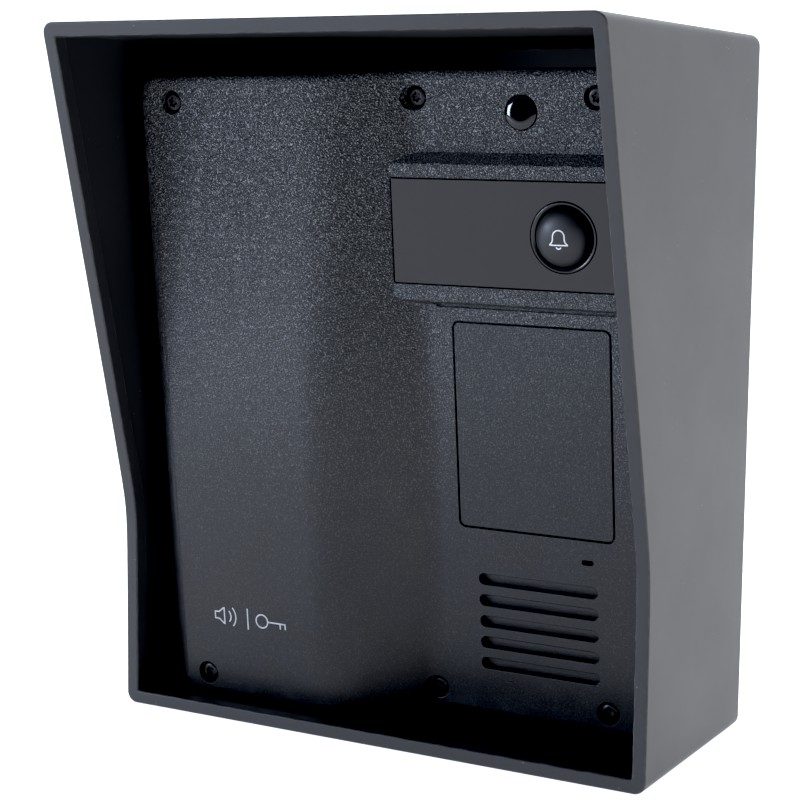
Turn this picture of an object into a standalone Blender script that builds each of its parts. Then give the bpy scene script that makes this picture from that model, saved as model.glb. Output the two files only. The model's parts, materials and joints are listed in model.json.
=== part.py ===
"""Door intercom station inside a deep weather hood, modelled as its separate pieces.

World frame: metres, +Z up, the front faces -Y, and the wall plane is y = 0. The origin is the centre of
the hood's back. The station's pieces are placed in a frame of their own, tilted with its face: x to the
right, z up along the face, and y inwards, with y = 0 on the lower level of the face. All sizes below are
in millimetres and MM turns them into metres.
"""

import math

import bmesh
import bpy
from mathutils import Matrix, Vector

MM = 0.001
GAP = 0.3  # the space kept between pieces that touch

# Weather hood
HOOD_WIDTH = 175.0
HOOD_HEIGHT = 209.0
HOOD_DEPTH_TOP = 114.7
HOOD_DEPTH_LOW = 75.5
HOOD_KINK = 61.8  # height where the upright front edge starts to lean out
HOOD_WALL = 3.0
HOOD_RIM = 4.1  # thickness of the rim around the mouth
HOOD_RIM_DEPTH = 5.0
HOOD_ROUND = 3.5

# Station
TILT = math.radians(6.33)  # the face leans forward at its top
FACE_DEPTH = 46.0  # from the wall to the bottom of the face's lower level
FACE_FOOT = 5.3  # height of the face's bottom edge above the hood's underside
FACE_HALF = 77.5
FACE_LENGTH = 192.4
FACE_CORNER = 6.5
WALL = 2.5
PARTING = 9.0  # how far the face shell's skirt runs back
HOUSING_FRONT = PARTING + 1.6

# The raised bulge at the left, as the section of the face
BULGE_RISE = 17.8
BULGE_RIDGE = -17.0  # where its plateau meets its slope
BULGE_FOOT = 8.2  # where its slope meets the lower level
RIDGE_ROUND = 20.0
FOOT_ROUND = 12.0
RIM_ROUND = 2.5
RIM_ROUND_LEFT = 5.8

# Features of the face, at (x, z)
BUTTON = (55.6, 146.8)
LENS = (41.5, 180.7)
MIC = (58.6, 52.0)
MIC_SLOT = (3.6, 1.5)
SPEAKER = (42.45, 29.9)
SPEAKER_R = 19.5
SLOT_LENGTH = 38.0
SLOT_HEIGHT = 3.3
SLOT_PITCH = 6.57
SLOTS = 5
PAD_RISE = 4.8
WINDOW = (1.7, 131.9, 70.7, 162.2)  # low x, low z, high x, high z
BLANK = (17.4, 58.5, 67.3, 120.6)
SCREW_X = 64.1
SCREW_LOW = 6.8
SCREW_HIGH = 184.8
SCREW_SEAT = 3.0  # from the surface down to the underside of a screw's head

# Call button
BEZEL_R = 9.9
BORE_R = 8.5
CAP_R = 8.15
CAP_TRAVEL = 1.2
SPRING_R = 6.0
TACT_FRONT = 5.6  # front of the tact switch's body
TACT_RISE = 1.4  # of its plunger above the body
STEM_END = TACT_FRONT - TACT_RISE - CAP_TRAVEL - 0.05  # the cap's stem at rest

# The six screws of the face shell, as (x, z, level of the surface around each)
FACE_SCREWS = [
    (x, z, -BULGE_RISE if x < 0 else 0.0)
    for z in (SCREW_LOW, SCREW_HIGH)
    for x in (-SCREW_X, BULGE_FOOT, SCREW_X)
]
COUNTERBORE_R = 3.45
SCREW_HEAD_R = 3.05
POST_R = 5.6  # posts of the face shell around its screws
HOUSING_POST_R = 4.0
PIN_POST_R = 2.7  # posts for the board's and the tray's small screws
SHANK_R = 1.5
SHANK_HOLE_R = 1.85
PILOT_R = 1.2

# Rear housing and the fixings in the back, at world (x, z)
HOUSING_HALF = FACE_HALF - 0.3
HOUSING_BACK = -HOOD_WALL - GAP
WALL_HOLES = [(x, z) for x in (-55.0, 55.0) for z in (-70.0, 70.0)]
HOUSING_SCREWS = [(x, z) for x in (-22.0, 30.0) for z in (-78.0, 72.0)]
FIXING_HOLE_R = 2.4
CABLE = (30.0, -40.0)
GROMMET_R = 6.5
GROMMET_BORE_R = 3.2

# Circuit board and what stands on it
BOARD_FRONT = 9.3
BOARD_BACK = BOARD_FRONT + 1.6
ON_BOARD = BOARD_BACK + GAP
BOARD_SCREWS = [(16.5, 63.0), (69.5, 63.0), (16.5, 173.0), (69.5, 173.0)]

# Batteries
CELL_R = 13.1
CELL_LENGTH = 50.0
TRAY_X = -45.0
TRAY_LOW = 16.0
TRAY_HIGH = 177.0
TRAY_FRONT = -14.8
TRAY_WALL = 1.6
TRAY_LUG = -1.6  # front of the tray's two fixing lugs
TRAY_SCREWS = [(TRAY_X, TRAY_LOW - 5.0), (TRAY_X, TRAY_HIGH + 5.0)]

LEAD_R = 0.8

# Finishes, each as colour, roughness and metallic value
BLACK_TEXTURED = ((0.035, 0.037, 0.042), 0.55, 0.0)
BLACK_MOULDED = ((0.07, 0.072, 0.075), 0.6, 0.0)
BLACK_GLOSS = ((0.04, 0.043, 0.05), 0.12, 0.0)
BLACK_RUBBER = ((0.03, 0.03, 0.03), 0.85, 0.0)
BLACK_STEEL = ((0.05, 0.05, 0.05), 0.35, 0.9)
ZINC = ((0.62, 0.62, 0.6), 0.35, 1.0)
SPRING_STEEL = ((0.6, 0.6, 0.6), 0.25, 1.0)
BOARD_GREEN = ((0.03, 0.16, 0.07), 0.45, 0.0)
CARD_DARK = ((0.05, 0.05, 0.055), 0.9, 0.0)
LED_CLEAR = ((0.6, 0.65, 0.7), 0.1, 0.0)
PAPER_CONE = ((0.08, 0.075, 0.07), 0.9, 0.0)
TERMINAL_GREEN = ((0.04, 0.3, 0.13), 0.5, 0.0)
RELAY_BLUE = ((0.05, 0.15, 0.45), 0.4, 0.0)
TRIMMER_WHITE = ((0.85, 0.85, 0.8), 0.5, 0.0)
CELL_SLEEVE = ((0.12, 0.12, 0.13), 0.4, 0.2)
LEAD_RED = ((0.5, 0.03, 0.03), 0.5, 0.0)

for old in list(bpy.data.objects):
    bpy.data.objects.remove(old)

scene = bpy.context.scene


# ---- Shapes: each returns a bmesh in millimetres, around its own origin ----


def prism(outline, low, high, axis="Y"):
    """A polygon pushed along an axis. The outline lists the other two coordinates in X, Y, Z order."""
    index = "XYZ".index(axis)
    bm = bmesh.new()
    loops = []
    for level in (low, high):
        loop = []
        for first, second in outline:
            place = [first, second]
            place.insert(index, level)
            loop.append(bm.verts.new(place))
        loops.append(loop)
    bm.faces.new(loops[0])
    bm.faces.new(loops[1])
    count = len(outline)
    for i in range(count):
        j = (i + 1) % count
        bm.faces.new((loops[0][i], loops[0][j], loops[1][j], loops[1][i]))
    return bm


def block(low, high, edge=0.0):
    """A box between two corners, with its edges chamfered."""
    outline = [(low[0], low[2]), (high[0], low[2]), (high[0], high[2]), (low[0], high[2])]
    bm = prism(outline, low[1], high[1])
    if edge:
        bmesh.ops.bevel(bm, geom=bm.edges[:], offset=edge, segments=1, affect="EDGES")
    return bm


def rounded(low_x, low_z, high_x, high_z, radius, steps=4):
    """The outline of a rectangle with round corners, anticlockwise from the low corner."""
    corners = (
        (low_x + radius, low_z + radius, 180),
        (high_x - radius, low_z + radius, 270),
        (high_x - radius, high_z - radius, 0),
        (low_x + radius, high_z - radius, 90),
    )
    outline = []
    for x, z, start in corners:
        for step in range(steps + 1):
            turn = math.radians(start + 90 * step / steps)
            outline.append((x + radius * math.cos(turn), z + radius * math.sin(turn)))
    return outline


def turned(profile, sides=24):
    """A profile of (radius, y) turned about the Y axis. Radius 0 at both ends closes it, or it is a ring."""
    bm = bmesh.new()
    rings = []
    for radius, depth in profile:
        if radius == 0:
            rings.append([bm.verts.new((0, depth, 0))])
            continue
        ring = []
        for side in range(sides):
            turn = math.tau * side / sides
            ring.append(bm.verts.new((radius * math.cos(turn), depth, radius * math.sin(turn))))
        rings.append(ring)
    pairs = list(zip(rings, rings[1:]))
    if profile[0][0] > 0:
        pairs.append((rings[-1], rings[0]))
    for here, there in pairs:
        for side in range(sides):
            after = (side + 1) % sides
            corners = [here[side % len(here)], here[after % len(here)]]
            corners += [there[after % len(there)], there[side % len(there)]]
            bm.faces.new(list(dict.fromkeys(corners)))
    return bm


def rod(radius, front, back, sides=12):
    return turned([(0, front), (radius, front), (radius, back), (0, back)], sides)


def star(outer, inner, front, back, points=6):
    """A prism with a six-pointed section, for a driver recess, its points off the head's own edges."""
    outline = []
    for corner in range(2 * points):
        radius = outer if corner % 2 == 0 else inner
        turn = math.pi * corner / points + 0.11
        outline.append((radius * math.cos(turn), radius * math.sin(turn)))
    return prism(outline, front, back)


# ---- Objects: a shape becomes a named piece, or a hidden helper for a Boolean ----


def material(name, finish):
    colour, roughness, metallic = finish
    made = bpy.data.materials.new(name)
    made.use_nodes = True
    shader = made.node_tree.nodes["Principled BSDF"]
    shader.inputs["Base Color"].default_value = (*colour, 1.0)
    shader.inputs["Roughness"].default_value = roughness
    shader.inputs["Metallic"].default_value = metallic
    made.diffuse_color = (*colour, 1.0)
    return made


def link(name, data, parent, at):
    made = bpy.data.objects.new(name, data)
    scene.collection.objects.link(made)
    made.parent = parent
    made.location = MM * Vector(at)
    return made


def mesh_from(name, bm):
    bmesh.ops.recalc_face_normals(bm, faces=bm.faces)
    bmesh.ops.scale(bm, vec=Vector((MM, MM, MM)), verts=bm.verts)
    mesh = bpy.data.meshes.new(name)
    bm.to_mesh(mesh)
    bm.free()
    return mesh


def add(name, bm, finish, parent=None, at=(0.0, 0.0, 0.0)):
    mesh = mesh_from(name, bm)
    mesh.shade_smooth()
    mesh.set_sharp_from_angle(angle=math.radians(35))
    mesh.materials.append(material(name, finish))
    return link(name, mesh, parent, at)


def helper(bm, parent, at):
    made = link("helper", mesh_from("helper", bm), parent, at)
    made.hide_render = True
    made.display_type = "WIRE"
    return made


def boolean(target, operation, bm, at=(0.0, 0.0, 0.0), turned_with=None):
    """Cuts a shape from the target or joins it on, and returns the hidden helper."""
    parent = turned_with if turned_with else target.parent
    tool = helper(bm, parent, at)
    modifier = target.modifiers.new(operation.lower(), "BOOLEAN")
    modifier.operation = operation
    modifier.solver = "EXACT"
    modifier.object = tool
    return tool


def cut(target, bm, at=(0.0, 0.0, 0.0), turned_with=None):
    return boolean(target, "DIFFERENCE", bm, at, turned_with)


def join(target, bm, at=(0.0, 0.0, 0.0), turned_with=None):
    return boolean(target, "UNION", bm, at, turned_with)


def lead(name, points, radius, parent, finish):
    """A round lead through a smooth curve of Catmull-Rom spans between the route's points."""
    route = [Vector(p) for p in points]
    ends = [2 * route[0] - route[1], *route, 2 * route[-1] - route[-2]]
    steps = 3
    smooth = []
    for i in range(1, len(ends) - 2):
        before, here, there, after = ends[i - 1 : i + 3]
        for step in range(steps):
            t = step / steps
            bend = 2 * before - 5 * here + 4 * there - after
            swing = 3 * here - before - 3 * there + after
            smooth.append(0.5 * (2 * here + (there - before) * t + bend * t**2 + swing * t**3))
    smooth.append(route[-1])
    return wire(name, smooth, radius, parent, finish)


def wire(name, points, radius, parent, finish, at=(0.0, 0.0, 0.0), resolution=1):
    curve = bpy.data.curves.new(name, "CURVE")
    curve.dimensions = "3D"
    curve.bevel_depth = MM * radius
    curve.bevel_resolution = resolution
    curve.use_fill_caps = True
    spline = curve.splines.new("POLY")
    spline.points.add(len(points) - 1)
    for target, point in zip(spline.points, points):
        target.co = (*(MM * Vector(point)), 1.0)
    curve.materials.append(material(name, finish))
    return link(name, curve, parent, at)


# ---- Frames ----

BASE = -HOOD_HEIGHT / 2  # world height of the hood's underside

station = bpy.data.objects.new("station_frame", None)
scene.collection.objects.link(station)
station.location = MM * Vector((0, -FACE_DEPTH, BASE + FACE_FOOT))
station.rotation_euler = (TILT, 0, 0)


def to_world(y, z):
    """World (y, z) of a point of the tilted station frame."""
    turn = Matrix.Rotation(TILT, 2)
    place = turn @ Vector((y, z))
    return place.x - FACE_DEPTH, place.y + BASE + FACE_FOOT


def to_face(y, z):
    """The station frame's (y, z) of a world point."""
    turn = Matrix.Rotation(-TILT, 2)
    place = turn @ Vector((y + FACE_DEPTH, z - BASE - FACE_FOOT))
    return place.x, place.y


# ---- Weather hood ----


def hood_outline(wall):
    """Side view of the hood, as world (y, z), moved inwards by a wall's thickness."""
    lean = (HOOD_DEPTH_TOP - HOOD_DEPTH_LOW) / (HOOD_HEIGHT - HOOD_KINK)
    top = HOOD_HEIGHT - wall
    front_top = HOOD_DEPTH_LOW + lean * (top - HOOD_KINK)
    return [
        (-wall, BASE + wall),
        (-HOOD_DEPTH_LOW, BASE + wall),
        (-HOOD_DEPTH_LOW, BASE + HOOD_KINK),
        (-front_top, BASE + top),
        (-wall, BASE + top),
    ]


def moved_forward(outline, distance):
    """The same outline with its three front corners moved out of the mouth, or into it when negative."""
    return [(y - distance if 1 <= i <= 3 else y, z) for i, (y, z) in enumerate(outline)]


def build_hood():
    half = HOOD_WIDTH / 2
    body = prism(hood_outline(0), -half, half, "X")
    long_edges = []
    for edge in body.edges:
        first, second = (v.co for v in edge.verts)
        on_side = abs(first.x - second.x) < 1e-6
        level = abs(first.z - second.z) < 1e-6
        if on_side and level:
            long_edges.append(edge)
    bmesh.ops.bevel(
        body, geom=long_edges, offset=HOOD_ROUND, segments=4, affect="EDGES", profile=0.5
    )
    hood = add("hood_shell", body, BLACK_MOULDED)
    inside = moved_forward(hood_outline(HOOD_WALL), -HOOD_RIM_DEPTH)
    inner_half = half - HOOD_WALL
    cut(hood, prism(inside, -inner_half, inner_half, "X"))
    mouth = moved_forward(hood_outline(HOOD_RIM), 3)
    mouth_back = -HOOD_DEPTH_LOW / 2
    mouth[0] = (mouth_back, mouth[0][1])
    mouth[-1] = (mouth_back, mouth[-1][1])
    mouth_half = half - HOOD_RIM
    cut(hood, prism(mouth, -mouth_half, mouth_half, "X"))
    countersunk = [(0, 1), (2.5, 1), (2.5, -1.2), (5.0, -3.2), (5.0, -4), (0, -4)]
    for x, z in WALL_HOLES:
        cut(hood, turned(countersunk, 14), at=(x, 0, z))
    for x, z in HOUSING_SCREWS:
        cut(hood, rod(FIXING_HOLE_R, -4, 1), at=(x, 0, z))
    cut(hood, rod(GROMMET_R + GAP, -4, 1), at=(CABLE[0], 0, CABLE[1]))


build_hood()

# ---- Rear housing ----

def upright_box(low_z, high_z, front, back, half, corner):
    """A box between two world heights with round corners as seen from the front."""
    return prism(rounded(-half, low_z, half, high_z, corner), front, back)


def build_housing():
    front_low = to_world(HOUSING_FRONT, 0.5)
    front_high = to_world(HOUSING_FRONT, FACE_LENGTH - 0.3)
    low = front_low[1]
    high = front_high[1]
    housing = add(
        "rear_housing",
        upright_box(low, high, -100, HOUSING_BACK, HOUSING_HALF, FACE_CORNER),
        BLACK_MOULDED,
    )
    ahead = block((-100, -100, -50), (100, HOUSING_FRONT, FACE_LENGTH + 50))
    cut(housing, ahead, turned_with=station)
    inner = HOUSING_BACK - WALL
    room = upright_box(
        low + WALL, high - WALL, -110, inner, HOUSING_HALF - WALL, FACE_CORNER - WALL
    )
    hollow = cut(housing, room)
    for x, z, _ in FACE_SCREWS:
        post = rod(HOUSING_POST_R, HOUSING_FRONT - 60, 90, 10)
        cut(hollow, post, at=(x, 0, z), turned_with=station)
        hole = rod(SHANK_HOLE_R, -5, HOUSING_FRONT + 26, 8)
        cut(housing, hole, at=(x, 0, z), turned_with=station)
    for x, z in HOUSING_SCREWS:
        cut(housing, rod(FIXING_HOLE_R, inner - 1, HOUSING_BACK + 1), at=(x, 0, z))
    inlet = rod(GROMMET_R + GAP, inner - 1, HOUSING_BACK + 1)
    cut(housing, inlet, at=(CABLE[0], 0, CABLE[1]))
    for number, (x, z) in enumerate(HOUSING_SCREWS, 1):
        head = inner - GAP
        profile = [(0, head - 2.4), (2.6, head - 2.4), (3.6, head - 1.2), (3.6, head)]
        profile += [(2.0, head), (2.0, -0.4), (0, -0.4)]
        screw = add(f"housing_screw_{number}", turned(profile, 12), ZINC, at=(x, 0, z))
        cut(screw, star(1.5, 1.1, head - 4, head - 1.2), at=(x, 0, z))
    flange = inner - GAP
    bore = GROMMET_BORE_R
    profile = [(bore, flange - 4.5), (5.5, flange - 4.5), (9.5, flange - 1.5), (9.5, flange)]
    profile += [(GROMMET_R, flange), (GROMMET_R, -0.4), (bore, -0.4)]
    add("cable_grommet", turned(profile, 16), BLACK_RUBBER, at=(CABLE[0], 0, CABLE[1]))


build_housing()

# ---- Face shell ----

SLOPE = math.atan(BULGE_RISE / (BULGE_FOOT - BULGE_RIDGE))


def bulge_section(inset):
    """(x, rise) along the face's section, with its ridge and foot rounded, moved inwards by an inset."""
    shift = inset * math.tan(SLOPE / 2)
    ridge_r = RIDGE_ROUND - inset
    foot_r = FOOT_ROUND + inset
    ridge_x = BULGE_RIDGE - shift - ridge_r * math.tan(SLOPE / 2)
    foot_x = BULGE_FOOT - shift + foot_r * math.tan(SLOPE / 2)
    section = []
    for step in range(6):
        turn = SLOPE * step / 5
        drop = ridge_r * (1 - math.cos(turn))
        section.append((ridge_x + ridge_r * math.sin(turn), BULGE_RISE - inset - drop))
    for step in range(5):
        turn = SLOPE * (1 - step / 4)
        section.append((foot_x - foot_r * math.sin(turn), foot_r * (1 - math.cos(turn)) - inset))
    return section


def face_blank(inset, back):
    """The face as a closed solid: its section drawn along z, with round corners and a rounded rim."""
    section = bulge_section(inset)
    half = FACE_HALF - inset
    corner = FACE_CORNER - inset
    low = inset
    outline = []  # (x, z, inward x, inward z, rim radius, rise)
    arc_steps = 4
    left = max(RIM_ROUND_LEFT - inset, 0.6)
    other = max(RIM_ROUND - inset, 0.6)
    for step in range(arc_steps + 1):
        turn = math.pi / 2 * step / arc_steps
        x = -half + corner - corner * math.cos(turn)
        z = low + corner - corner * math.sin(turn)
        rim = left + (other - left) * (step / arc_steps) ** 2
        outline.append((x, z, math.cos(turn), math.sin(turn), rim, BULGE_RISE - inset))
    for x, rise in section:
        outline.append((x, low, 0, 1, other, rise))
    for step in range(arc_steps + 1):
        turn = math.pi / 2 * (1 - step / arc_steps)
        x = half - corner + corner * math.cos(turn)
        z = low + corner - corner * math.sin(turn)
        outline.append((x, z, -math.cos(turn), math.sin(turn), other, -inset))
    bm = bmesh.new()
    rim_steps = 3
    rows = []  # from the back edge to the end of the rim's round, each as (low half, high half)
    for level in range(-1, rim_steps + 1):
        turn = math.pi / 2 * max(level, 0) / rim_steps
        halves = ([], [])
        for x, z, in_x, in_z, rim, rise in outline:
            inwards = rim * (1 - math.cos(turn))
            depth = back if level < 0 else -(rise - rim * (1 - math.sin(turn)))
            place_x = x + in_x * inwards
            place_z = z + in_z * inwards
            halves[0].append(bm.verts.new((place_x, depth, place_z)))
            halves[1].append(bm.verts.new((place_x, depth, FACE_LENGTH - place_z)))
        rows.append(halves[0] + halves[1][::-1])
    for here, there in zip(rows, rows[1:]):
        count = len(here)
        for i in range(count):
            j = (i + 1) % count
            bm.faces.new((here[i], here[j], there[j], there[i]))
    bm.faces.new(rows[0])
    top = rows[-1]
    count = len(top)
    for i in range(count // 2 - 1):
        bm.faces.new((top[i], top[i + 1], top[count - 2 - i], top[count - 1 - i]))
    return bm


def build_face_shell():
    shell = add("face_shell", face_blank(0, PARTING), BLACK_TEXTURED, station)
    hollow = cut(shell, face_blank(WALL, PARTING + 3))
    for x, z, _ in FACE_SCREWS:
        cut(hollow, rod(POST_R, -30, 30), at=(x, 0, z))
    for x, z in BOARD_SCREWS:
        cut(hollow, rod(PIN_POST_R, -30, 30, 10), at=(x, 0, z))
    for x, z in TRAY_SCREWS:
        cut(hollow, rod(PIN_POST_R, -30, TRAY_LUG - GAP, 10), at=(x, 0, z))
    low_x, low_z, high_x, high_z = BLANK
    seat = 2.4
    cut(hollow, block((low_x - seat, -9, low_z - seat), (high_x + seat, 4, high_z + seat)))

    window_low, window_high = WINDOW[1], WINDOW[3]
    side = [
        (1, window_low - 6.9),
        (0.4, window_low - 6.9),
        (-PAD_RISE + 1.2, window_low - 6.3),
        (-PAD_RISE + 0.3, window_low - 5.7),
        (-PAD_RISE, window_low - 4.9),
        (-PAD_RISE, window_high + 4.3),
        (-PAD_RISE + 0.5, window_high + 4.8),
        (0.4, window_high + 7.2),
        (1, window_high + 7.2),
    ]
    pad = prism(side, 0.2, 75.6, "X")
    for vert in pad.verts:
        if vert.co.x > 75 and vert.co.y < 0:
            vert.co.x += 0.5 * vert.co.y
    join(shell, pad)
    wide = [WINDOW[0] - GAP, WINDOW[1] - GAP, WINDOW[2] + GAP, WINDOW[3] + GAP]
    cut(shell, prism(rounded(*wide, 0.7, 2), -9, -2.0))
    cut(shell, rod(BEZEL_R + 0.35, -9, 6, 32), at=(BUTTON[0], 0, BUTTON[1]))
    cut(shell, rod(5.0, -3, 6, 24), at=(LENS[0], 0, LENS[1]))
    cut(shell, prism(rounded(*BLANK, 2.2), -3, 1.8))
    ledge = 2.2
    inner = [low_x + ledge, low_z + ledge, high_x - ledge, high_z - ledge]
    cut(shell, prism(rounded(*inner, 1.5, 2), 0, 7))
    for number in range(SLOTS):
        z = SPEAKER[1] + (number - (SLOTS - 1) / 2) * SLOT_PITCH
        low = z - SLOT_HEIGHT / 2
        high = z + SLOT_HEIGHT / 2
        ends = SLOT_LENGTH / 2
        end_round = SLOT_HEIGHT / 2 - 0.02
        outline = rounded(SPEAKER[0] - ends, low, SPEAKER[0] + ends, high, end_round)
        cut(shell, prism(outline, -3, 6))
    half, rise = MIC_SLOT[0] / 2, MIC_SLOT[1] / 2
    outline = rounded(MIC[0] - half, MIC[1] - rise, MIC[0] + half, MIC[1] + rise, rise - 0.05, 3)
    cut(shell, prism(outline, -3, 6))
    for x, z, level in FACE_SCREWS:
        counterbore = rod(COUNTERBORE_R, level - 12, level + SCREW_SEAT + GAP, 20)
        cut(shell, counterbore, at=(x, 0, z))
        cut(shell, rod(SHANK_HOLE_R, level, PARTING + 4, 10), at=(x, 0, z))
    for x, z in BOARD_SCREWS:
        cut(shell, rod(PILOT_R, PARTING - 5, PARTING + 3, 8), at=(x, 0, z))
    for x, z in TRAY_SCREWS:
        cut(shell, rod(PILOT_R, TRAY_LUG - 6, TRAY_LUG + 3, 8), at=(x, 0, z))


build_face_shell()


def pan_screw(name, at, seat, shank, length, head, finish=BLACK_STEEL, sides=12):
    """A pan-head screw: seat is the underside of its head, and it points in by length."""
    rise = 0.72 * head
    toward = 1 if length > 0 else -1
    profile = [(0, seat - toward * rise), (0.7 * head, seat - toward * rise)]
    profile += [(head, seat - toward * 0.45 * rise), (head, seat), (shank, seat)]
    profile += [(shank, seat + length - toward * shank), (0.25 * shank, seat + length), (0, seat + length)]
    screw = add(name, turned(profile, sides), finish, station, at)
    top = seat - toward * rise
    recess = sorted((top - toward * 2, top + toward * 0.5 * head))
    cut(screw, star(0.5 * head, 0.36 * head, *recess), at)
    return screw


for number, (x, z, level) in enumerate(FACE_SCREWS, 1):
    length = 34.0 if level < 0 else 19.0
    seat = level + SCREW_SEAT
    pan_screw(f"face_screw_{number}", (x, 0, z), seat, SHANK_R, length, SCREW_HEAD_R)
for number, (x, z) in enumerate(BOARD_SCREWS, 1):
    pan_screw(f"board_screw_{number}", (x, 0, z), BOARD_BACK + GAP, 0.9, -6.0, 2.1, ZINC, 10)

# Gasket between the face shell and the rear housing


def build_gasket():
    outer = rounded(-FACE_HALF + 0.4, 0.6, FACE_HALF - 0.4, FACE_LENGTH - 0.5, FACE_CORNER - 0.5)
    gasket = add("housing_gasket", prism(outer, PARTING + GAP, HOUSING_FRONT - GAP), BLACK_RUBBER, station)
    inset = 2.3
    inner = rounded(-FACE_HALF + inset, inset, FACE_HALF - inset, FACE_LENGTH - inset, FACE_CORNER - inset)
    cut(gasket, prism(inner, PARTING - 2, HOUSING_FRONT + 2))


build_gasket()

# ---- Pieces of the face ----


def build_window():
    outline = rounded(*WINDOW, 0.5, 2)
    window = add("label_window", prism(outline, -PAD_RISE + 0.1, -3.1), BLACK_GLOSS, station)
    hole = (BUTTON[0], 0, BUTTON[1])
    cut(window, rod(BEZEL_R + 0.3, -9, 3, 32), hole)
    card = [WINDOW[0] + 0.3, WINDOW[1] + 0.3, WINDOW[2] - 0.3, WINDOW[3] - 0.3]
    name_card = add("name_card", prism(rounded(*card, 0.5, 1), -2.8, -2.3), CARD_DARK, station)
    cut(name_card, rod(BEZEL_R + 0.5, -9, 3, 20), hole)


def build_button():
    at = (BUTTON[0], 0, BUTTON[1])
    bezel = [
        (BEZEL_R, -PAD_RISE + 0.3),
        (BEZEL_R - 0.2, -PAD_RISE),
        (BEZEL_R - 0.7, -PAD_RISE),
        (BORE_R + 0.3, -PAD_RISE + 0.9),
        (BORE_R, -PAD_RISE + 1.4),
        (BORE_R, 4.3),
        (12.0, 4.3),
        (12.0, 2.8),
        (BEZEL_R, 2.8),
    ]
    add("button_bezel", turned(bezel, 28), BLACK_GLOSS, station, at)
    cap = [
        (0, -8.0),
        (3.2, -7.93),
        (5.8, -7.65),
        (6.9, -7.2),
        (7.7, -6.3),
        (CAP_R, -5.0),
        (CAP_R, 4.3 + GAP),
        (9.4, 4.3 + GAP),
        (9.4, 5.8),
        (7.3, 5.8),
        (7.3, -5.6),
        (6.7, -6.3),
        (1.6, -6.3),
        (1.6, STEM_END),
        (0, STEM_END),
    ]
    add("button_cap", turned(cap, 24), BLACK_GLOSS, station, at)
    turns = 5
    points = []
    low, high = -5.6, 8.6
    for step in range(10 * turns + 1):
        turn = math.tau * step / 10
        depth = low + (high - low) * step / (10 * turns)
        points.append((SPRING_R * math.cos(turn), depth, SPRING_R * math.sin(turn)))
    wire("button_spring", points, 0.32, station, SPRING_STEEL, at, 0)
    switch_body("tact_switch_body", at, TACT_FRONT, BOARD_FRONT - GAP)
    add("tact_switch_plunger", rod(1.7, TACT_FRONT - TACT_RISE, TACT_FRONT + 1.0), BLACK_GLOSS, station, at)


def switch_body(name, at, mouth, foot):
    """A square switch body with a round well for its plunger in the face away from the board."""
    inwards = 1 if foot > mouth else -1
    low, high = sorted((mouth, foot))
    body = add(name, block((-3, low, -3), (3, high, 3), 0.3), BLACK_MOULDED, station, at)
    well = sorted((mouth - 2 * inwards, mouth + 1.7 * inwards))
    cut(body, rod(2.0, *well), at)


def build_lens():
    at = (LENS[0], 0, LENS[1])
    profile = [(0, -0.55), (2.4, -0.45), (4.2, -0.2), (4.7, 0.2), (4.7, 2.8)]
    profile += [(6.2, 2.8), (6.2, 3.8), (0, 3.8)]
    add("status_lens", turned(profile, 24), BLACK_GLOSS, station, at)
    led = [(0, 4.6), (1.4, 4.8), (2.2, 5.6), (2.45, 6.6), (2.45, 7.9), (2.9, 7.9), (2.9, 9.0), (0, 9.0)]
    add("status_led", turned(led, 12), LED_CLEAR, station, at)


def build_blank():
    outline = rounded(BLANK[0] + 0.45, BLANK[1] + 0.45, BLANK[2] - 0.45, BLANK[3] - 0.45, 1.9)
    plate = prism(outline, 0.0, 1.5)
    front = [edge for edge in plate.edges if all(v.co.y < 0.01 for v in edge.verts)]
    bmesh.ops.bevel(plate, geom=front, offset=0.35, segments=1, affect="EDGES")
    blank = add("keypad_blank", plate, BLACK_TEXTURED, station)
    middle = (BLANK[0] + BLANK[2]) / 2
    for z in (BLANK[1] + 2.9, BLANK[3] - 2.9):
        low_z, high_z = sorted((z, z + (1.4 if z < 90 else -1.4)))
        join(blank, block((middle - 5, 1.0, low_z), (middle + 5, 6.0, high_z)))


build_window()
build_button()
build_lens()
build_blank()

# ---- Microphone and loudspeaker ----


def build_sound():
    at = (MIC[0], 0, MIC[1])
    boot = [(1.0, 2.8), (4.0, 2.8), (4.0, 8.6), (3.35, 8.6), (3.35, 4.0), (1.0, 4.0)]
    add("mic_boot", turned(boot, 14), BLACK_RUBBER, station, at)
    capsule = [(0, 4.3), (2.7, 4.3), (3.0, 4.6), (3.0, 7.2), (0, 7.2)]
    add("mic_capsule", turned(capsule, 14), ZINC, station, at)
    reach = SPEAKER_R + 1.8
    low, high = SPEAKER[1] - 17.5, SPEAKER[1] + 17.5
    screen = rounded(SPEAKER[0] - reach, low, SPEAKER[0] + reach, high, 2, 2)
    add("speaker_screen", prism(screen, 2.8, 3.5), BLACK_TEXTURED, station)
    at = (SPEAKER[0], 0, SPEAKER[1])
    basket = [
        (SPEAKER_R, 3.9),
        (SPEAKER_R, 5.1),
        (17.4, 5.1),
        (12.0, 10.6),
        (12.0, 12.0),
        (5.0, 12.0),
        (5.0, 11.2),
        (11.0, 11.2),
        (11.0, 10.2),
        (16.6, 4.6),
        (16.6, 3.9),
    ]
    add("speaker_basket", turned(basket, 20), BLACK_STEEL, station, at)
    cone = [(0, 6.6), (3.6, 7.4), (5.2, 8.6), (15.9, 4.6), (16.2, 4.6), (16.2, 4.9)]
    cone += [(5.4, 10.6), (3.2, 10.6), (3.2, 8.2), (0, 7.5)]
    add("speaker_cone", turned(cone, 20), PAPER_CONE, station, at)
    magnet = [(0, 12.3), (9.9, 12.3), (10.5, 12.9), (10.5, 17.2), (0, 17.2)]
    add("speaker_magnet", turned(magnet, 20), ZINC, station, at)


build_sound()

# ---- Circuit board ----


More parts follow.
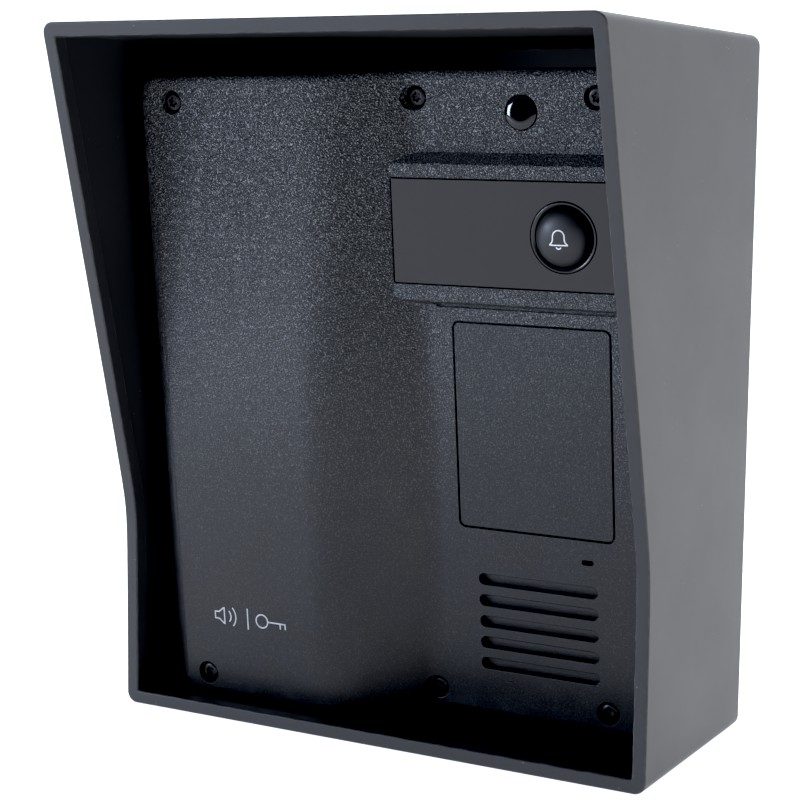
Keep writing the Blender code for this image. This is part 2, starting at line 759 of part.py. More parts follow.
def build_board():
    outline = [(12, 58), (73, 58), (73, 178), (52, 178), (52, 188), (32, 188), (32, 178), (12, 178)]
    board = add("main_board", prism(outline, BOARD_FRONT, BOARD_BACK), BOARD_GREEN, station)
    for x, z in BOARD_SCREWS:
        cut(board, rod(1.2, BOARD_FRONT - 3, BOARD_BACK + 3, 8), at=(x, 0, z))
    add("radio_module", block((42, ON_BOARD, 132), (64, ON_BOARD + 3.2, 160), 0.4), ZINC, station)
    aerial = [(0, ON_BOARD), (3.0, ON_BOARD), (3.0, ON_BOARD + 4), (2.2, ON_BOARD + 5.5)]
    aerial += [(2.2, ON_BOARD + 30), (1.6, ON_BOARD + 31.5), (0, ON_BOARD + 31.5)]
    add("aerial", turned(aerial, 10), BLACK_RUBBER, station, (28, 0, 160))
    strip = block((40, ON_BOARD, 61), (66, ON_BOARD + 10, 70), 0.4)
    strip = add("terminal_block", strip, TERMINAL_GREEN, station)
    for number in range(5):
        x = 43 + 5.0 * number
        cut(strip, rod(1.7, ON_BOARD + 6, ON_BOARD + 12, 8), (x, 0, 65.5))
    add("gate_relay", block((44, ON_BOARD, 78), (59, ON_BOARD + 15, 97), 0.6), RELAY_BLUE, station)
    can = [(0, ON_BOARD), (4.6, ON_BOARD), (5, ON_BOARD + 0.8), (5, ON_BOARD + 15.4), (4.5, ON_BOARD + 16)]
    can += [(3.6, ON_BOARD + 16), (3.4, ON_BOARD + 15.6), (0, ON_BOARD + 15.6)]
    add("capacitor", turned(can, 14), BLACK_MOULDED, station, (27, 0, 88))
    well = ON_BOARD + 4.6
    at = (24, 0, 112)
    trimmer = block((-3.4, ON_BOARD, -3.4), (3.4, well, 3.4), 0.3)
    trimmer = add("volume_trimmer_body", trimmer, RELAY_BLUE, station, at)
    cut(trimmer, rod(2.5, well - 1.6, well + 2, 16), at)
    rotor = rod(2.2, well - 1.3, well + 0.5, 16)
    rotor = add("volume_trimmer_rotor", rotor, TRIMMER_WHITE, station, at)
    cut(rotor, block((-1.7, well - 0.2, -0.35), (1.7, well + 2, 0.35)), at)
    cut(rotor, block((-0.35, well - 0.2, -1.7), (0.35, well + 2, 1.7)), at)
    at = (56, 0, 112)
    mouth = ON_BOARD + 3.4
    switch_body("pairing_switch_body", at, mouth, ON_BOARD)
    plunger = rod(1.7, mouth - 1.0, mouth + 1.6)
    add("pairing_switch_plunger", plunger, BLACK_GLOSS, station, at)


build_board()

# ---- Batteries ----


def build_batteries():
    half = CELL_R + 0.4
    outer = half + TRAY_WALL
    floor = TRAY_FRONT + TRAY_WALL
    tray = add(
        "battery_tray",
        block((TRAY_X - outer, TRAY_FRONT, TRAY_LOW), (TRAY_X + outer, 12, TRAY_HIGH)),
        BLACK_MOULDED,
        station,
    )
    low = TRAY_LOW + TRAY_WALL
    high = TRAY_HIGH - TRAY_WALL
    cut(tray, block((TRAY_X - half, floor, low), (TRAY_X + half, 20, high)))
    for x, z in TRAY_SCREWS:
        at_foot = z < TRAY_LOW
        low, high = (z - 4, TRAY_LOW + 0.8) if at_foot else (TRAY_HIGH - 0.8, z + 4)
        join(tray, block((x - 5, TRAY_LUG, low), (x + 5, 0, high)))
        cut(tray, rod(1.5, TRAY_LUG - 2, 3, 8), (x, 0, z))
    for number, (x, z) in enumerate(TRAY_SCREWS, 1):
        pan_screw(f"tray_screw_{number}", (x, 0, z), GAP, 0.9, -6.0, 2.1, ZINC, 10)
    axis = floor + 0.35 + CELL_R
    first = TRAY_LOW + TRAY_WALL + 5.9
    for number in range(3):
        low = first + number * (CELL_LENGTH + GAP)
        cell = [(0, 0), (11.5, 0), (12.9, 0.5), (CELL_R, 1.2), (CELL_R, 47.2)]
        cell += [(12.6, 48.2), (3.8, 48.2), (3.5, CELL_LENGTH), (0, CELL_LENGTH)]
        made = turned(cell, 18)
        bmesh.ops.rotate(made, matrix=Matrix.Rotation(math.pi / 2, 3, "X"), verts=made.verts)
        add(f"battery_cell_{number + 1}", made, CELL_SLEEVE, station, (TRAY_X, axis, low))
    plate = block((-5, -5, 0), (5, 5, 0.5))
    top = first + 3 * (CELL_LENGTH + GAP)
    add("battery_contact_plus", plate, ZINC, station, (TRAY_X, axis, top))
    points = []
    turns = 3
    for step in range(9 * turns + 1):
        turn = math.tau * step / 9
        share = step / (9 * turns)
        radius = 6.5 - 3.0 * share
        points.append((radius * math.cos(turn), radius * math.sin(turn), 0.4 + 4.3 * share))
    foot = TRAY_LOW + TRAY_WALL + GAP
    wire("battery_contact_minus", points, 0.35, station, SPRING_STEEL, (TRAY_X, axis, foot), 0)


build_batteries()

# ---- Leads inside the station ----

rear_of_board = BOARD_BACK + GAP + LEAD_R
speaker_route = [
    (30, 6.6, SPEAKER[1] + 13.7),
    (28.5, 9, SPEAKER[1] + 17.3),
    (28, 13, 53),
    (28, rear_of_board + 1.2, 58.5),
    (28.5, rear_of_board, 64),
    (29, rear_of_board, 68),
]
lead("speaker_lead", speaker_route, LEAD_R, station, LEAD_RED)
tray_side = TRAY_X + CELL_R + 0.4 + TRAY_WALL + GAP + LEAD_R
battery_route = [
    (tray_side, 9, 44),
    (tray_side + 1, 10.5, 50),
    (-20, 14, 60),
    (-4, 15.5, 72),
    (9, 13.5, 78),
    (17, rear_of_board, 80),
    (20, rear_of_board, 80),
]
lead("battery_lead", battery_route, LEAD_R, station, LEAD_RED)
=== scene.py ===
import json
import math

import bmesh
import bpy
import numpy as np
from mathutils import Matrix, Vector


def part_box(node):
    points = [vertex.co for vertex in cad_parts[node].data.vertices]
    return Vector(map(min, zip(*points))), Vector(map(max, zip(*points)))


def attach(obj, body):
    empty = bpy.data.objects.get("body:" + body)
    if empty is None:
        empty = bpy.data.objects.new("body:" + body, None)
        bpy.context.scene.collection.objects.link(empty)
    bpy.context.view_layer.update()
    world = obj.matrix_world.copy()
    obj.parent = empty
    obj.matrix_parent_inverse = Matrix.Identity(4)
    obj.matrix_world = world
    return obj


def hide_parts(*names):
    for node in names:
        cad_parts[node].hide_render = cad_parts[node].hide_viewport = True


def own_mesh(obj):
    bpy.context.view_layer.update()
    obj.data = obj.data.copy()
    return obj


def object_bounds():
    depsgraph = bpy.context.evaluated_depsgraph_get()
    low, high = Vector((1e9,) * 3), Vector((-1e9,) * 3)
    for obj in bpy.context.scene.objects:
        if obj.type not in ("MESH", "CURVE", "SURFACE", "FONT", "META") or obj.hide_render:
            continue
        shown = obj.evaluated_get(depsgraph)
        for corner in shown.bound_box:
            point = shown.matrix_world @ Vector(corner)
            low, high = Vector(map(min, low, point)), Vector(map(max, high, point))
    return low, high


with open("model.json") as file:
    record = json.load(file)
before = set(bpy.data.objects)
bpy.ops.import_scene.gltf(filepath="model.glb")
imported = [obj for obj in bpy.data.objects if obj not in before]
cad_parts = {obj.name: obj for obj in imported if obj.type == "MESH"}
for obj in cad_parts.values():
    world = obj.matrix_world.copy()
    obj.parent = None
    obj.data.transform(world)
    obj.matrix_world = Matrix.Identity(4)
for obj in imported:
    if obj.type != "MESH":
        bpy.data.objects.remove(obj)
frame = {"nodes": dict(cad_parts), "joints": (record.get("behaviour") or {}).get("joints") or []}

cadLow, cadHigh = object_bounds()
nodes = frame["nodes"]
scene = bpy.context.scene
mm = 0.001

# the face has its own axes: x right, y inwards, z up along the tilted face, in millimetres
pressJoint = next(joint for joint in frame["joints"] if joint["name"] == "call_button_press")
inward = np.array(pressJoint["axis"], float)
inward /= np.linalg.norm(inward)
right = np.array([1.0, 0.0, 0.0])
faceAxes = np.array([right, inward, np.cross(right, inward)])


def nodePoints(name):  # a node's vertices in metres, as rows of x, y and z
    mesh = nodes[name].data
    points = np.empty(len(mesh.vertices) * 3)
    mesh.vertices.foreach_get("co", points)
    return points.reshape(-1, 3)


def faceBox(name):  # a node's lowest and highest corner in the face's frame
    local = (nodePoints(name) - faceOrigin) @ faceAxes.T / mm
    return local.min(axis=0), local.max(axis=0)


faceOrigin = np.zeros(3)
blankFront = faceBox("keypad_blank")[0][1]  # the lower level of the face
shellFoot = faceBox("face_shell")[0][2]
faceOrigin = mm * (blankFront * faceAxes[1] + shellFoot * faceAxes[2])


def toWorld(points):  # face millimetres to metres: the origin plus each coordinate along its axis
    return faceOrigin + mm * points @ faceAxes


def middleOf(name):  # (x, z) of a node's axis on the face
    low, high = faceBox(name)
    return ((low + high) / 2)[[0, 2]]


def toLinear(hexColour):  # an sRGB hex colour as linear RGBA
    parts = np.array([int(hexColour[i : i + 2], 16) for i in (1, 3, 5)]) / 255
    curved = ((parts + 0.055) / 1.055) ** 2.4
    return (*np.where(parts <= 0.04045, parts / 12.92, curved).tolist(), 1.0)


def addNode(tree, kind, properties=None, values=None, links=None):
    # one shader node: its properties, its sockets' values, and the outputs (or nodes) that feed it
    node = tree.nodes.new(kind)
    for key, value in (properties or {}).items():
        setattr(node, key, value)
    for key, value in (values or {}).items():
        node.inputs[key].default_value = value
    for key, source in (links or {}).items():
        output = source.outputs[0] if isinstance(source, bpy.types.Node) else source
        tree.links.new(output, node.inputs[key])
    return node


def span(low, high, outLow=0.0, outHigh=1.0):  # a range, and what its two ends become
    return {"From Min": low, "From Max": high, "To Min": outLow, "To Max": outHigh}


def lumps(size, detail=2.0, roughness=0.5):  # the values of a noise, from its lump in millimetres
    return {"Scale": 1 / (size * mm), "Detail": detail, "Roughness": roughness}


smoothStep = {"interpolation_type": "SMOOTHSTEP"}
colourMix = {"data_type": "RGBA", "blend_type": "MIX"}
multiply = {"operation": "MULTIPLY"}


def makeFinish(name, recipe):
    # a surface from its recipe: two mixed colours, pale specks (painted glints on the spark-eroded
    # finishes), dust, rubbed edges, grain and its gloss
    finish = bpy.data.materials.new(name)
    finish.use_nodes = True
    tree = finish.node_tree
    shader = tree.nodes["Principled BSDF"]
    metallic = recipe.get("metallic", 0.0)
    shader.inputs["Metallic"].default_value = metallic
    if metallic < 0.5:
        shader.inputs["IOR"].default_value = recipe.get("ior", 1.5)
    place = addNode(tree, "ShaderNodeTexCoord").outputs["Object"]

    clouds = lumps(recipe["mottle"], 4.0, 0.6)
    clouds = addNode(tree, "ShaderNodeTexNoise", None, clouds, {"Vector": place})
    mottle = addNode(tree, "ShaderNodeMapRange", smoothStep, span(0.3, 0.7), {"Value": clouds})
    tones = {6: toLinear(recipe["dark"]), 7: toLinear(recipe["light"])}
    colour = addNode(tree, "ShaderNodeMix", colourMix, tones, {0: mottle}).outputs[2]
    layers = []  # (amount, colour) of each paler layer over that

    drawn = place
    if "stretch" in recipe:
        stretch = {"Scale": recipe["stretch"]}
        drawn = addNode(tree, "ShaderNodeMapping", None, stretch, {"Vector": place})
    fine = lumps(recipe["grain"], recipe.get("grainDetail", 2.0), 0.55)
    grain = addNode(tree, "ShaderNodeTexNoise", None, fine, {"Vector": drawn})
    glintAndReliefFade = None
    if "lowGlintAndRelief" in recipe:  # the grain's relief and the painted glints on its tops are strongest high on the face and fade towards the bottom
        level = addNode(tree, "ShaderNodeSeparateXYZ", None, None, {0: place}).outputs["Z"]
        lowest, highest = -0.06, 0.085  # heights in metres
        rising = span(lowest, highest, recipe["lowGlintAndRelief"], 1.0)
        glintAndReliefFade = addNode(tree, "ShaderNodeMapRange", smoothStep, rising, {"Value": level})
    if "speckAndGlint" in recipe:  # paler specks on the grain's tops: painted glints on the spark-eroded finishes, the weave and the fibres' own speckle on the board and the cone
        crests = span(*recipe.get("speckAndGlintRange", (0.52, 0.72)))
        tops = addNode(tree, "ShaderNodeMapRange", smoothStep, crests, {"Value": grain})
        amount = addNode(tree, "ShaderNodeMath", multiply, {1: recipe["speckAndGlintAmount"]}, {0: tops})
        if glintAndReliefFade:
            amount = addNode(tree, "ShaderNodeMath", multiply, None, {0: amount, 1: glintAndReliefFade})
        layers.append((amount, recipe["speckAndGlint"]))
    if "dust" in recipe:  # sparse pale dots, each a fraction of a cell of the pattern
        spacing = recipe["dustSpacing"]
        scale = {"Scale": 1 / (spacing * mm)}
        cells = addNode(tree, "ShaderNodeTexVoronoi", None, scale, {"Vector": place})
        dot = addNode(tree, "ShaderNodeMapRange", smoothStep, span(0.055, 0.03), {"Value": cells})
        drift = addNode(tree, "ShaderNodeTexNoise", None, lumps(spacing * 5, 3.0), {"Vector": place})
        patch = addNode(tree, "ShaderNodeMapRange", smoothStep, span(0.52, 0.62), {"Value": drift})
        amount = addNode(tree, "ShaderNodeMath", multiply, None, {0: dot, 1: patch})
        layers.append((amount, recipe["dust"]))
    if "wear" in recipe:  # edges rubbed paler, found where a rounded normal leaves the true one
        bent = addNode(tree, "ShaderNodeBevel", {"samples": 4}, {"Radius": recipe["wearWidth"] * mm})
        true = addNode(tree, "ShaderNodeNewGeometry").outputs["True Normal"]
        product = {"operation": "DOT_PRODUCT"}
        match = addNode(tree, "ShaderNodeVectorMath", product, None, {0: bent, 1: true})
        match = match.outputs["Value"]
        edge = addNode(tree, "ShaderNodeMapRange", smoothStep, span(0.985, 0.86), {"Value": match})
        rubs = addNode(tree, "ShaderNodeTexNoise", None, lumps(3.0, 4.0, 0.7), {"Vector": place})
        rubbed = addNode(tree, "ShaderNodeMapRange", smoothStep, span(0.42, 0.62), {"Value": rubs})
        amount = addNode(tree, "ShaderNodeMath", multiply, None, {0: edge, 1: rubbed})
        layers.append((amount, recipe["wear"]))
    for amount, paler in layers:
        over = {7: toLinear(paler)}
        colour = addNode(tree, "ShaderNodeMix", colourMix, over, {0: amount, 6: colour}).outputs[2]
    tree.links.new(colour, shader.inputs["Base Color"])

    smears = lumps(recipe.get("smudge", 12.0), 3.0, 0.6)
    smears = addNode(tree, "ShaderNodeTexNoise", None, smears, {"Vector": place})
    gloss = span(0.3, 0.7, *recipe["roughness"])
    gloss = addNode(tree, "ShaderNodeMapRange", smoothStep, gloss, {"Value": smears})
    tree.links.new(gloss.outputs[0], shader.inputs["Roughness"])

    height = grain
    if "pits" in recipe:  # a second, coarser layer of spark-eroded craters
        scale = {"Scale": 1 / (recipe["pits"] * mm)}
        pits = addNode(tree, "ShaderNodeTexVoronoi", {"feature": "F1"}, scale, {"Vector": place})
        height = addNode(tree, "ShaderNodeMath", {"operation": "ADD"}, None, {0: grain, 1: pits})
    relief = {"Strength": recipe.get("strength", 0.5), "Distance": recipe["depth"] * mm}
    bump = addNode(tree, "ShaderNodeBump", None, relief, {"Height": height})
    if glintAndReliefFade:
        strength = {1: recipe["strength"]}
        strength = addNode(tree, "ShaderNodeMath", multiply, strength, {0: glintAndReliefFade})
        tree.links.new(strength.outputs[0], bump.inputs["Strength"])
    tree.links.new(bump.outputs[0], shader.inputs["Normal"])
    return finish


finishes = {
    # black ABS moulded in a spark-eroded tool: a lively grain, with painted glints on its tops. Its
    # usual size, about
    # 0.15 mm, is too fine to show, so it is drawn at 0.36 mm here and at 0.37 mm on the plate
    "absSparkGrain": {
        "dark": "#0c0e12", "light": "#11141a", "mottle": 18.0, "ior": 1.47,
        "grain": 0.36, "grainDetail": 1.0, "pits": 0.54, "depth": 0.26, "strength": 1.0,
        "speckAndGlint": "#b3b9be", "speckAndGlintAmount": 0.58, "speckAndGlintRange": (0.54, 0.69), "lowGlintAndRelief": 0.1,
        "roughness": (0.31, 0.4), "smudge": 9.0, "wear": "#33363b", "wearWidth": 0.35,
    },
    # the same grain on the blank plate, moulded in a flatter tool, with fainter painted glints
    "absSparkGrainPlate": {
        "dark": "#0c0e12", "light": "#11141a", "mottle": 14.0, "ior": 1.46,
        "grain": 0.37, "grainDetail": 1.0, "pits": 0.54, "depth": 0.16, "strength": 0.95,
        "speckAndGlint": "#8b9298", "speckAndGlintAmount": 0.45, "speckAndGlintRange": (0.52, 0.7), "lowGlintAndRelief": 0.2,
        "roughness": (0.32, 0.42), "smudge": 8.0,
    },
    # dark grey ABS hood with a fine satin moulding and a little dust on its rim
    "absSatinHood": {
        "dark": "#2c2d2f", "light": "#2f3032", "mottle": 40.0, "ior": 1.47,
        "grain": 0.5, "grainDetail": 2.0, "depth": 0.03, "strength": 0.35,
        "roughness": (0.445, 0.475), "smudge": 30.0, "dust": "#9a9a98", "dustSpacing": 3.2,
        "wear": "#8e9093", "wearWidth": 0.6,
    },
    # black ABS moulded parts behind the face
    "absMatteBlack": {
        "dark": "#191a1b", "light": "#232425", "mottle": 20.0, "grain": 0.6, "depth": 0.06,
        "roughness": (0.5, 0.62),
    },
    # back-painted acrylic strip: deep black with a clear, hard gloss
    "acrylicBlack": {
        "dark": "#0b0d11", "light": "#0e1116", "mottle": 30.0, "ior": 1.49, "grain": 4.0,
        "depth": 0.004, "strength": 0.15, "roughness": (0.03, 0.07), "smudge": 10.0,
        "dust": "#4c4f55", "dustSpacing": 4.5,
    },
    # satin ABS of the button's cap, polished a little by fingers
    "absSatinCap": {
        "dark": "#0e1014", "light": "#13161b", "mottle": 6.0, "grain": 0.25, "depth": 0.012,
        "strength": 0.3, "roughness": (0.4, 0.48), "smudge": 4.0,
    },
    # glossy ABS of the button's bezel
    "absGlossBezel": {
        "dark": "#0f1013", "light": "#16181c", "mottle": 5.0, "grain": 0.4, "depth": 0.006,
        "strength": 0.2, "roughness": (0.14, 0.22), "smudge": 4.0,
    },
    # screw heads of steel with a black oxide skin, rubbed bright at the drive
    "steelBlackOxide": {
        "dark": "#242426", "light": "#37373a", "mottle": 1.5, "metallic": 0.85, "grain": 0.2,
        "depth": 0.02, "roughness": (0.26, 0.4), "smudge": 2.0, "wear": "#6a6a6c", "wearWidth": 0.1,
    },
    # steel with a bright zinc plating: faint spangle and a cool grey
    "steelZincPlated": {
        "dark": "#8f9294", "light": "#b9bcbd", "mottle": 2.5, "metallic": 1.0, "grain": 0.3,
        "depth": 0.01, "roughness": (0.24, 0.4), "smudge": 3.0,
    },
    # drawn spring steel, with fine lines along the wire
    "steelSpring": {
        "dark": "#85878a", "light": "#a9abad", "mottle": 1.0, "metallic": 1.0, "grain": 0.15,
        "depth": 0.006, "roughness": (0.18, 0.3), "smudge": 1.5,
    },
    # EPDM rubber: dull, slightly dusty black
    "rubberEpdm": {
        "dark": "#161616", "light": "#222221", "mottle": 6.0, "grain": 0.35, "depth": 0.05,
        "roughness": (0.72, 0.88), "dust": "#5a5955", "dustSpacing": 3.0,
    },
    # glass-epoxy board under green solder resist, its weave just showing
    "boardSolderResist": {
        "dark": "#0b3d1d", "light": "#125a2b", "mottle": 3.0, "grain": 0.5, "depth": 0.02,
        "roughness": (0.3, 0.42), "stretch": (1.0, 1.0, 2.2), "speckAndGlint": "#2c7d47", "speckAndGlintAmount": 0.5,
    },
    # uncoated dark card behind the acrylic strip
    "cardDark": {
        "dark": "#1a1a1c", "light": "#232326", "mottle": 2.0, "grain": 0.2, "depth": 0.02,
        "roughness": (0.85, 0.95), "stretch": (0.3, 1.0, 1.0),
    },
    # clear epoxy of the light, slightly milky
    "epoxyClear": {
        "dark": "#aab2b8", "light": "#c9d0d4", "mottle": 1.5, "grain": 0.5, "depth": 0.004,
        "roughness": (0.08, 0.16), "ior": 1.54,
    },
    # pressed paper cone with short felted fibres
    "paperCone": {
        "dark": "#2a2725", "light": "#3b3734", "mottle": 2.0, "grain": 0.35, "depth": 0.06,
        "roughness": (0.8, 0.95), "stretch": (1.0, 2.5, 0.6), "speckAndGlint": "#5a544e", "speckAndGlintAmount": 0.4,
    },
    # polyamide terminal housing, a slightly waxy green
    "polyamideGreen": {
        "dark": "#0f6a35", "light": "#158045", "mottle": 4.0, "grain": 0.5, "depth": 0.02,
        "roughness": (0.4, 0.52), "ior": 1.53,
    },
    # polyester relay case, smooth blue
    "polyesterBlue": {
        "dark": "#1b4a96", "light": "#2358ab", "mottle": 4.0, "grain": 0.5, "depth": 0.015,
        "roughness": (0.3, 0.42), "ior": 1.57,
    },
    # natural nylon of the trimmer's rotor
    "nylonWhite": {
        "dark": "#d8d5c8", "light": "#e8e6dc", "mottle": 2.0, "grain": 0.3, "depth": 0.01,
        "roughness": (0.4, 0.5), "ior": 1.53,
    },
    # shrink sleeve of a cell, printed dark and slightly glossy
    "sleeveDark": {
        "dark": "#26282b", "light": "#303337", "mottle": 8.0, "grain": 0.8, "depth": 0.02,
        "roughness": (0.22, 0.34), "stretch": (1.0, 1.0, 0.25), "ior": 1.54,
    },
    # soft PVC insulation of the leads
    "vinylRed": {
        "dark": "#8c1414", "light": "#a81c1a", "mottle": 3.0, "grain": 0.4, "depth": 0.01,
        "roughness": (0.36, 0.48), "ior": 1.52,
    },
    # pad-printed ink, thin and very slightly broken on the grain
    "inkPaleGrey": {
        "dark": "#b9bcc0", "light": "#cfd2d5", "mottle": 1.2, "grain": 0.35, "depth": 0.01,
        "roughness": (0.55, 0.68),
    },
    # the same ink in white, on the button
    "inkWhite": {
        "dark": "#dcdee0", "light": "#f0f1f2", "mottle": 1.0, "grain": 0.3, "depth": 0.006,
        "roughness": (0.5, 0.6),
    },
}
made = {name: makeFinish(name, recipe) for name, recipe in finishes.items()}
print("finishes made:", len(made))

# a shape is points in millimetres on a grid, and the faces between them


def ringBetween(low, high, radius, perCorner=8, perSide=0):
    # a rectangle with round corners: a quarter turn about each corner's centre, then points along a
    # side
    low, high = np.asarray(low, float), np.asarray(high, float)
    centres = np.array([
        [low[0] + radius, low[1] + radius],
        [high[0] - radius, low[1] + radius],
        [high[0] - radius, high[1] - radius],
        [low[0] + radius, high[1] - radius],
    ])
    start = np.radians([180, 270, 0, 90])[:, None]
    turn = start + np.linspace(0, math.pi / 2, perCorner + 1)[None]
    arcs = centres[:, None] + radius * np.stack([np.cos(turn), np.sin(turn)], -1)
    share = np.linspace(0, 1, perSide + 2)[1:-1][None, :, None]
    sides = arcs[:, -1:] * (1 - share) + np.roll(arcs, -1, axis=0)[:, :1] * share
    return np.concatenate([arcs, sides], axis=1).reshape(-1, 2)


def onFace(ring, depth):
    # (x, depth, z) of each point of a ring, at one depth or at a depth for each point
    return np.stack([ring[:, 0], np.broadcast_to(depth, len(ring)), ring[:, 1]], -1)


def skinOf(levels, capFirst=True, capLast=True):
    # closed rings one behind the other: a quad between each pair of neighbours, and the ends filled
    rows, columns = levels.shape[:2]
    row = np.arange(rows - 1)[:, None] * columns
    here = np.arange(columns)[None]
    after = (here + 1) % columns
    quads = np.stack([row + here, row + after, row + columns + after, row + columns + here], -1)
    faces = quads.reshape(-1, 4).tolist()
    if capFirst:
        faces.append(list(range(columns))[::-1])
    if capLast:
        faces.append(list(range((rows - 1) * columns, rows * columns)))
    return levels.reshape(-1, 3), faces


def softCorners(profile, radius, steps=5):
    # an open polygon with each inner corner swapped for a short quadratic curve between its two
    # sides
    points = np.asarray(profile, float)
    before, here, after = points[:-2], points[1:-1], points[2:]
    back = np.linalg.norm(before - here, axis=1, keepdims=True)
    ahead = np.linalg.norm(after - here, axis=1, keepdims=True)
    asked = np.reshape(radius, (-1, 1)) * np.ones((len(here), 1))
    reach = np.minimum(asked, 0.48 * np.minimum(back, ahead))
    first = here + (before - here) / back * reach
    last = here + (after - here) / ahead * reach
    t = np.linspace(0, 1, steps)[None, :, None]
    curve = (1 - t) ** 2 * first[:, None] + 2 * t * (1 - t) * here[:, None] + t**2 * last[:, None]
    return np.concatenate([points[:1], curve.reshape(-1, 2), points[-1:]])


def turnedAt(profile, centre, sides=96):
    # a profile of (radius, depth) carried round an axis that points into the face
    profile = np.asarray(profile, float)
    turn = np.linspace(0, math.tau, sides, endpoint=False)[None]
    radius, depth = profile[:, :1], profile[:, 1:]
    x = centre[0] + radius * np.cos(turn)
    z = centre[1] + radius * np.sin(turn)
    levels = np.stack([x, np.broadcast_to(depth, x.shape), z], -1)
    if profile[0, 0] > 0:  # a ring: its last level meets its first
        levels = np.concatenate([levels, levels[:1]])
    return skinOf(levels, False, False)


def pinAt(centre, radius, front, back, sides=96):  # a plain round pin, to cut with or to keep
    return turnedAt([(0, front), (radius, front), (radius, back), (0, back)], centre, sides)


def lippedHole(outline, surface, bottom, lip, steps=4):
    # a cutter whose mouth flares by a small round: outline(grow) gives its section at each level
    turn = np.linspace(0, math.pi / 2, steps)
    grow = np.concatenate([[lip], lip * (1 - np.sin(turn)), [0.0]])
    depth = np.concatenate([[surface - 4.0], surface - 0.01 + lip * (1 - np.cos(turn)), [bottom]])
    levels = np.array([onFace(outline(g), d) for g, d in zip(grow, depth)])
    return skinOf(levels)


def together(parts):  # several shapes as one list of points and faces
    points, faces, count = [], [], 0
    for somePoints, someFaces in parts:
        points.append(somePoints)
        faces += [[index + count for index in face] for face in someFaces]
        count += len(somePoints)
    return np.concatenate(points), faces


def meshFrom(name, shape, world=False):
    # a shape in its place in metres, its doubles merged and its faces turned outwards
    points, faces = shape
    placed = points * mm if world else toWorld(points)
    mesh = bpy.data.meshes.new(name)
    mesh.from_pydata(placed, [], faces)
    work = bmesh.new()
    work.from_mesh(mesh)
    bmesh.ops.remove_doubles(work, verts=work.verts, dist=1e-7)
    bmesh.ops.recalc_face_normals(work, faces=work.faces)
    work.to_mesh(mesh)
    work.free()
    return mesh


def objectFrom(name, shape, world=False):  # the same as an object at the origin
    piece = bpy.data.objects.new(name, meshFrom(name, shape, world))
    scene.collection.objects.link(piece)
    return piece


def carveWith(piece, operation, tool):
    # joins a tool on or cuts it out, and keeps the result as the piece's own mesh
    step = piece.modifiers.new("carve", "BOOLEAN")
    step.operation, step.solver, step.object = operation, "EXACT", tool
    graph = bpy.context.evaluated_depsgraph_get()
    result = bpy.data.meshes.new_from_object(piece.evaluated_get(graph))
    piece.modifiers.clear()
    piece.data = result
    bpy.data.objects.remove(tool)


def carve(piece, operation, shape, world=False):  # the same, with a shape
    carveWith(piece, operation, objectFrom("tool", shape, world))


def finishPiece(piece, finish, body, replaced=None, sharp=32.0):
    # a finish, smooth shading up to an angle and the body it rides on; the node it stands for is
    # hidden
    mesh = piece.data
    mesh.materials.clear()
    mesh.materials.append(made[finish])
    mesh.shade_smooth()
    mesh.set_sharp_from_angle(angle=math.radians(sharp))
    even = piece.modifiers.new("evenShading", "WEIGHTED_NORMAL")
    even.keep_sharp = True  # large flats stay flat beside their rounds
    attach(piece, body)
    if replaced:
        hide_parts(replaced)
    return piece


hood = {
    "round": 3.5,  # of its long edges
    "rim": 4.1,  # thickness of the bead around the mouth
    "wall": 3.0,
    "rimDepth": 5.0,
    "edge": 0.55,  # round on the rim's own edges
    "kink": 61.8,  # above the underside
    "kinkSoftness": 7.0,
    "lowDepth": 75.5,
    "unevenness": 0.11,  # of the rim's inner edge
    "waves": 14,  # that add up to that unevenness
    "perSide": 110,  # points along each side of a ring
    "wallHolesAt": (55.0, 70.0),  # left and right, below and above the middle
    "wallHole": 2.5,
    "wallHead": 5.0,
    "screwHole": 2.4,
    "cableHole": 6.8,
    "holeSides": 48,
}
hoodLow, hoodHigh = (np.array(corner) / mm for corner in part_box("hood_shell"))


def mouthDepth(z):
    # how far the front stands out at a height: level, then leaning, with a soft bend between
    above = z - hoodLow[2] - hood["kink"]
    lean = (-hoodLow[1] - hood["lowDepth"]) / (hoodHigh[2] - hoodLow[2] - hood["kink"])
    soft = 0.5 * (above + np.sqrt(above**2 + hood["kinkSoftness"] ** 2))
    return np.minimum(hood["lowDepth"] + lean * soft, -hoodLow[1])


def hoodLevel(inset, behind=None, fromBack=None, rough=0.0):
    # the outline moved in by an inset, either behind the leaning mouth or at a distance from the back
    low = hoodLow[[0, 2]] + inset
    high = hoodHigh[[0, 2]] - inset
    corner = max(hood["round"] - inset, 0.5)
    ring = ringBetween(low, high, corner, 8, hood["perSide"])
    if rough:
        along = np.concatenate([[0], np.cumsum(np.linalg.norm(np.diff(ring, axis=0), axis=1))])
        waves = np.random.default_rng(5).uniform(size=(hood["waves"], 3))
        periods = 2.5 + 22 * waves[:, 0] ** 2
        wander = np.sin(math.tau * (along[:, None] / periods + waves[:, 1])) * waves[:, 2]
        ring = ring * (1 - rough * wander.sum(axis=1, keepdims=True) / 3 / 90)
    if fromBack is None:
        depth = -(mouthDepth(ring[:, 1]) - behind)
    else:
        depth = np.full(len(ring), -fromBack)
    return onFace(ring, depth)


def boredAt(node, radius):  # a pin through the hood's back, at a node's own middle
    low, high = (np.array(corner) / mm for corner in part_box(node))
    return pinAt(((low + high) / 2)[[0, 2]], radius, -4, 1, hood["holeSides"])


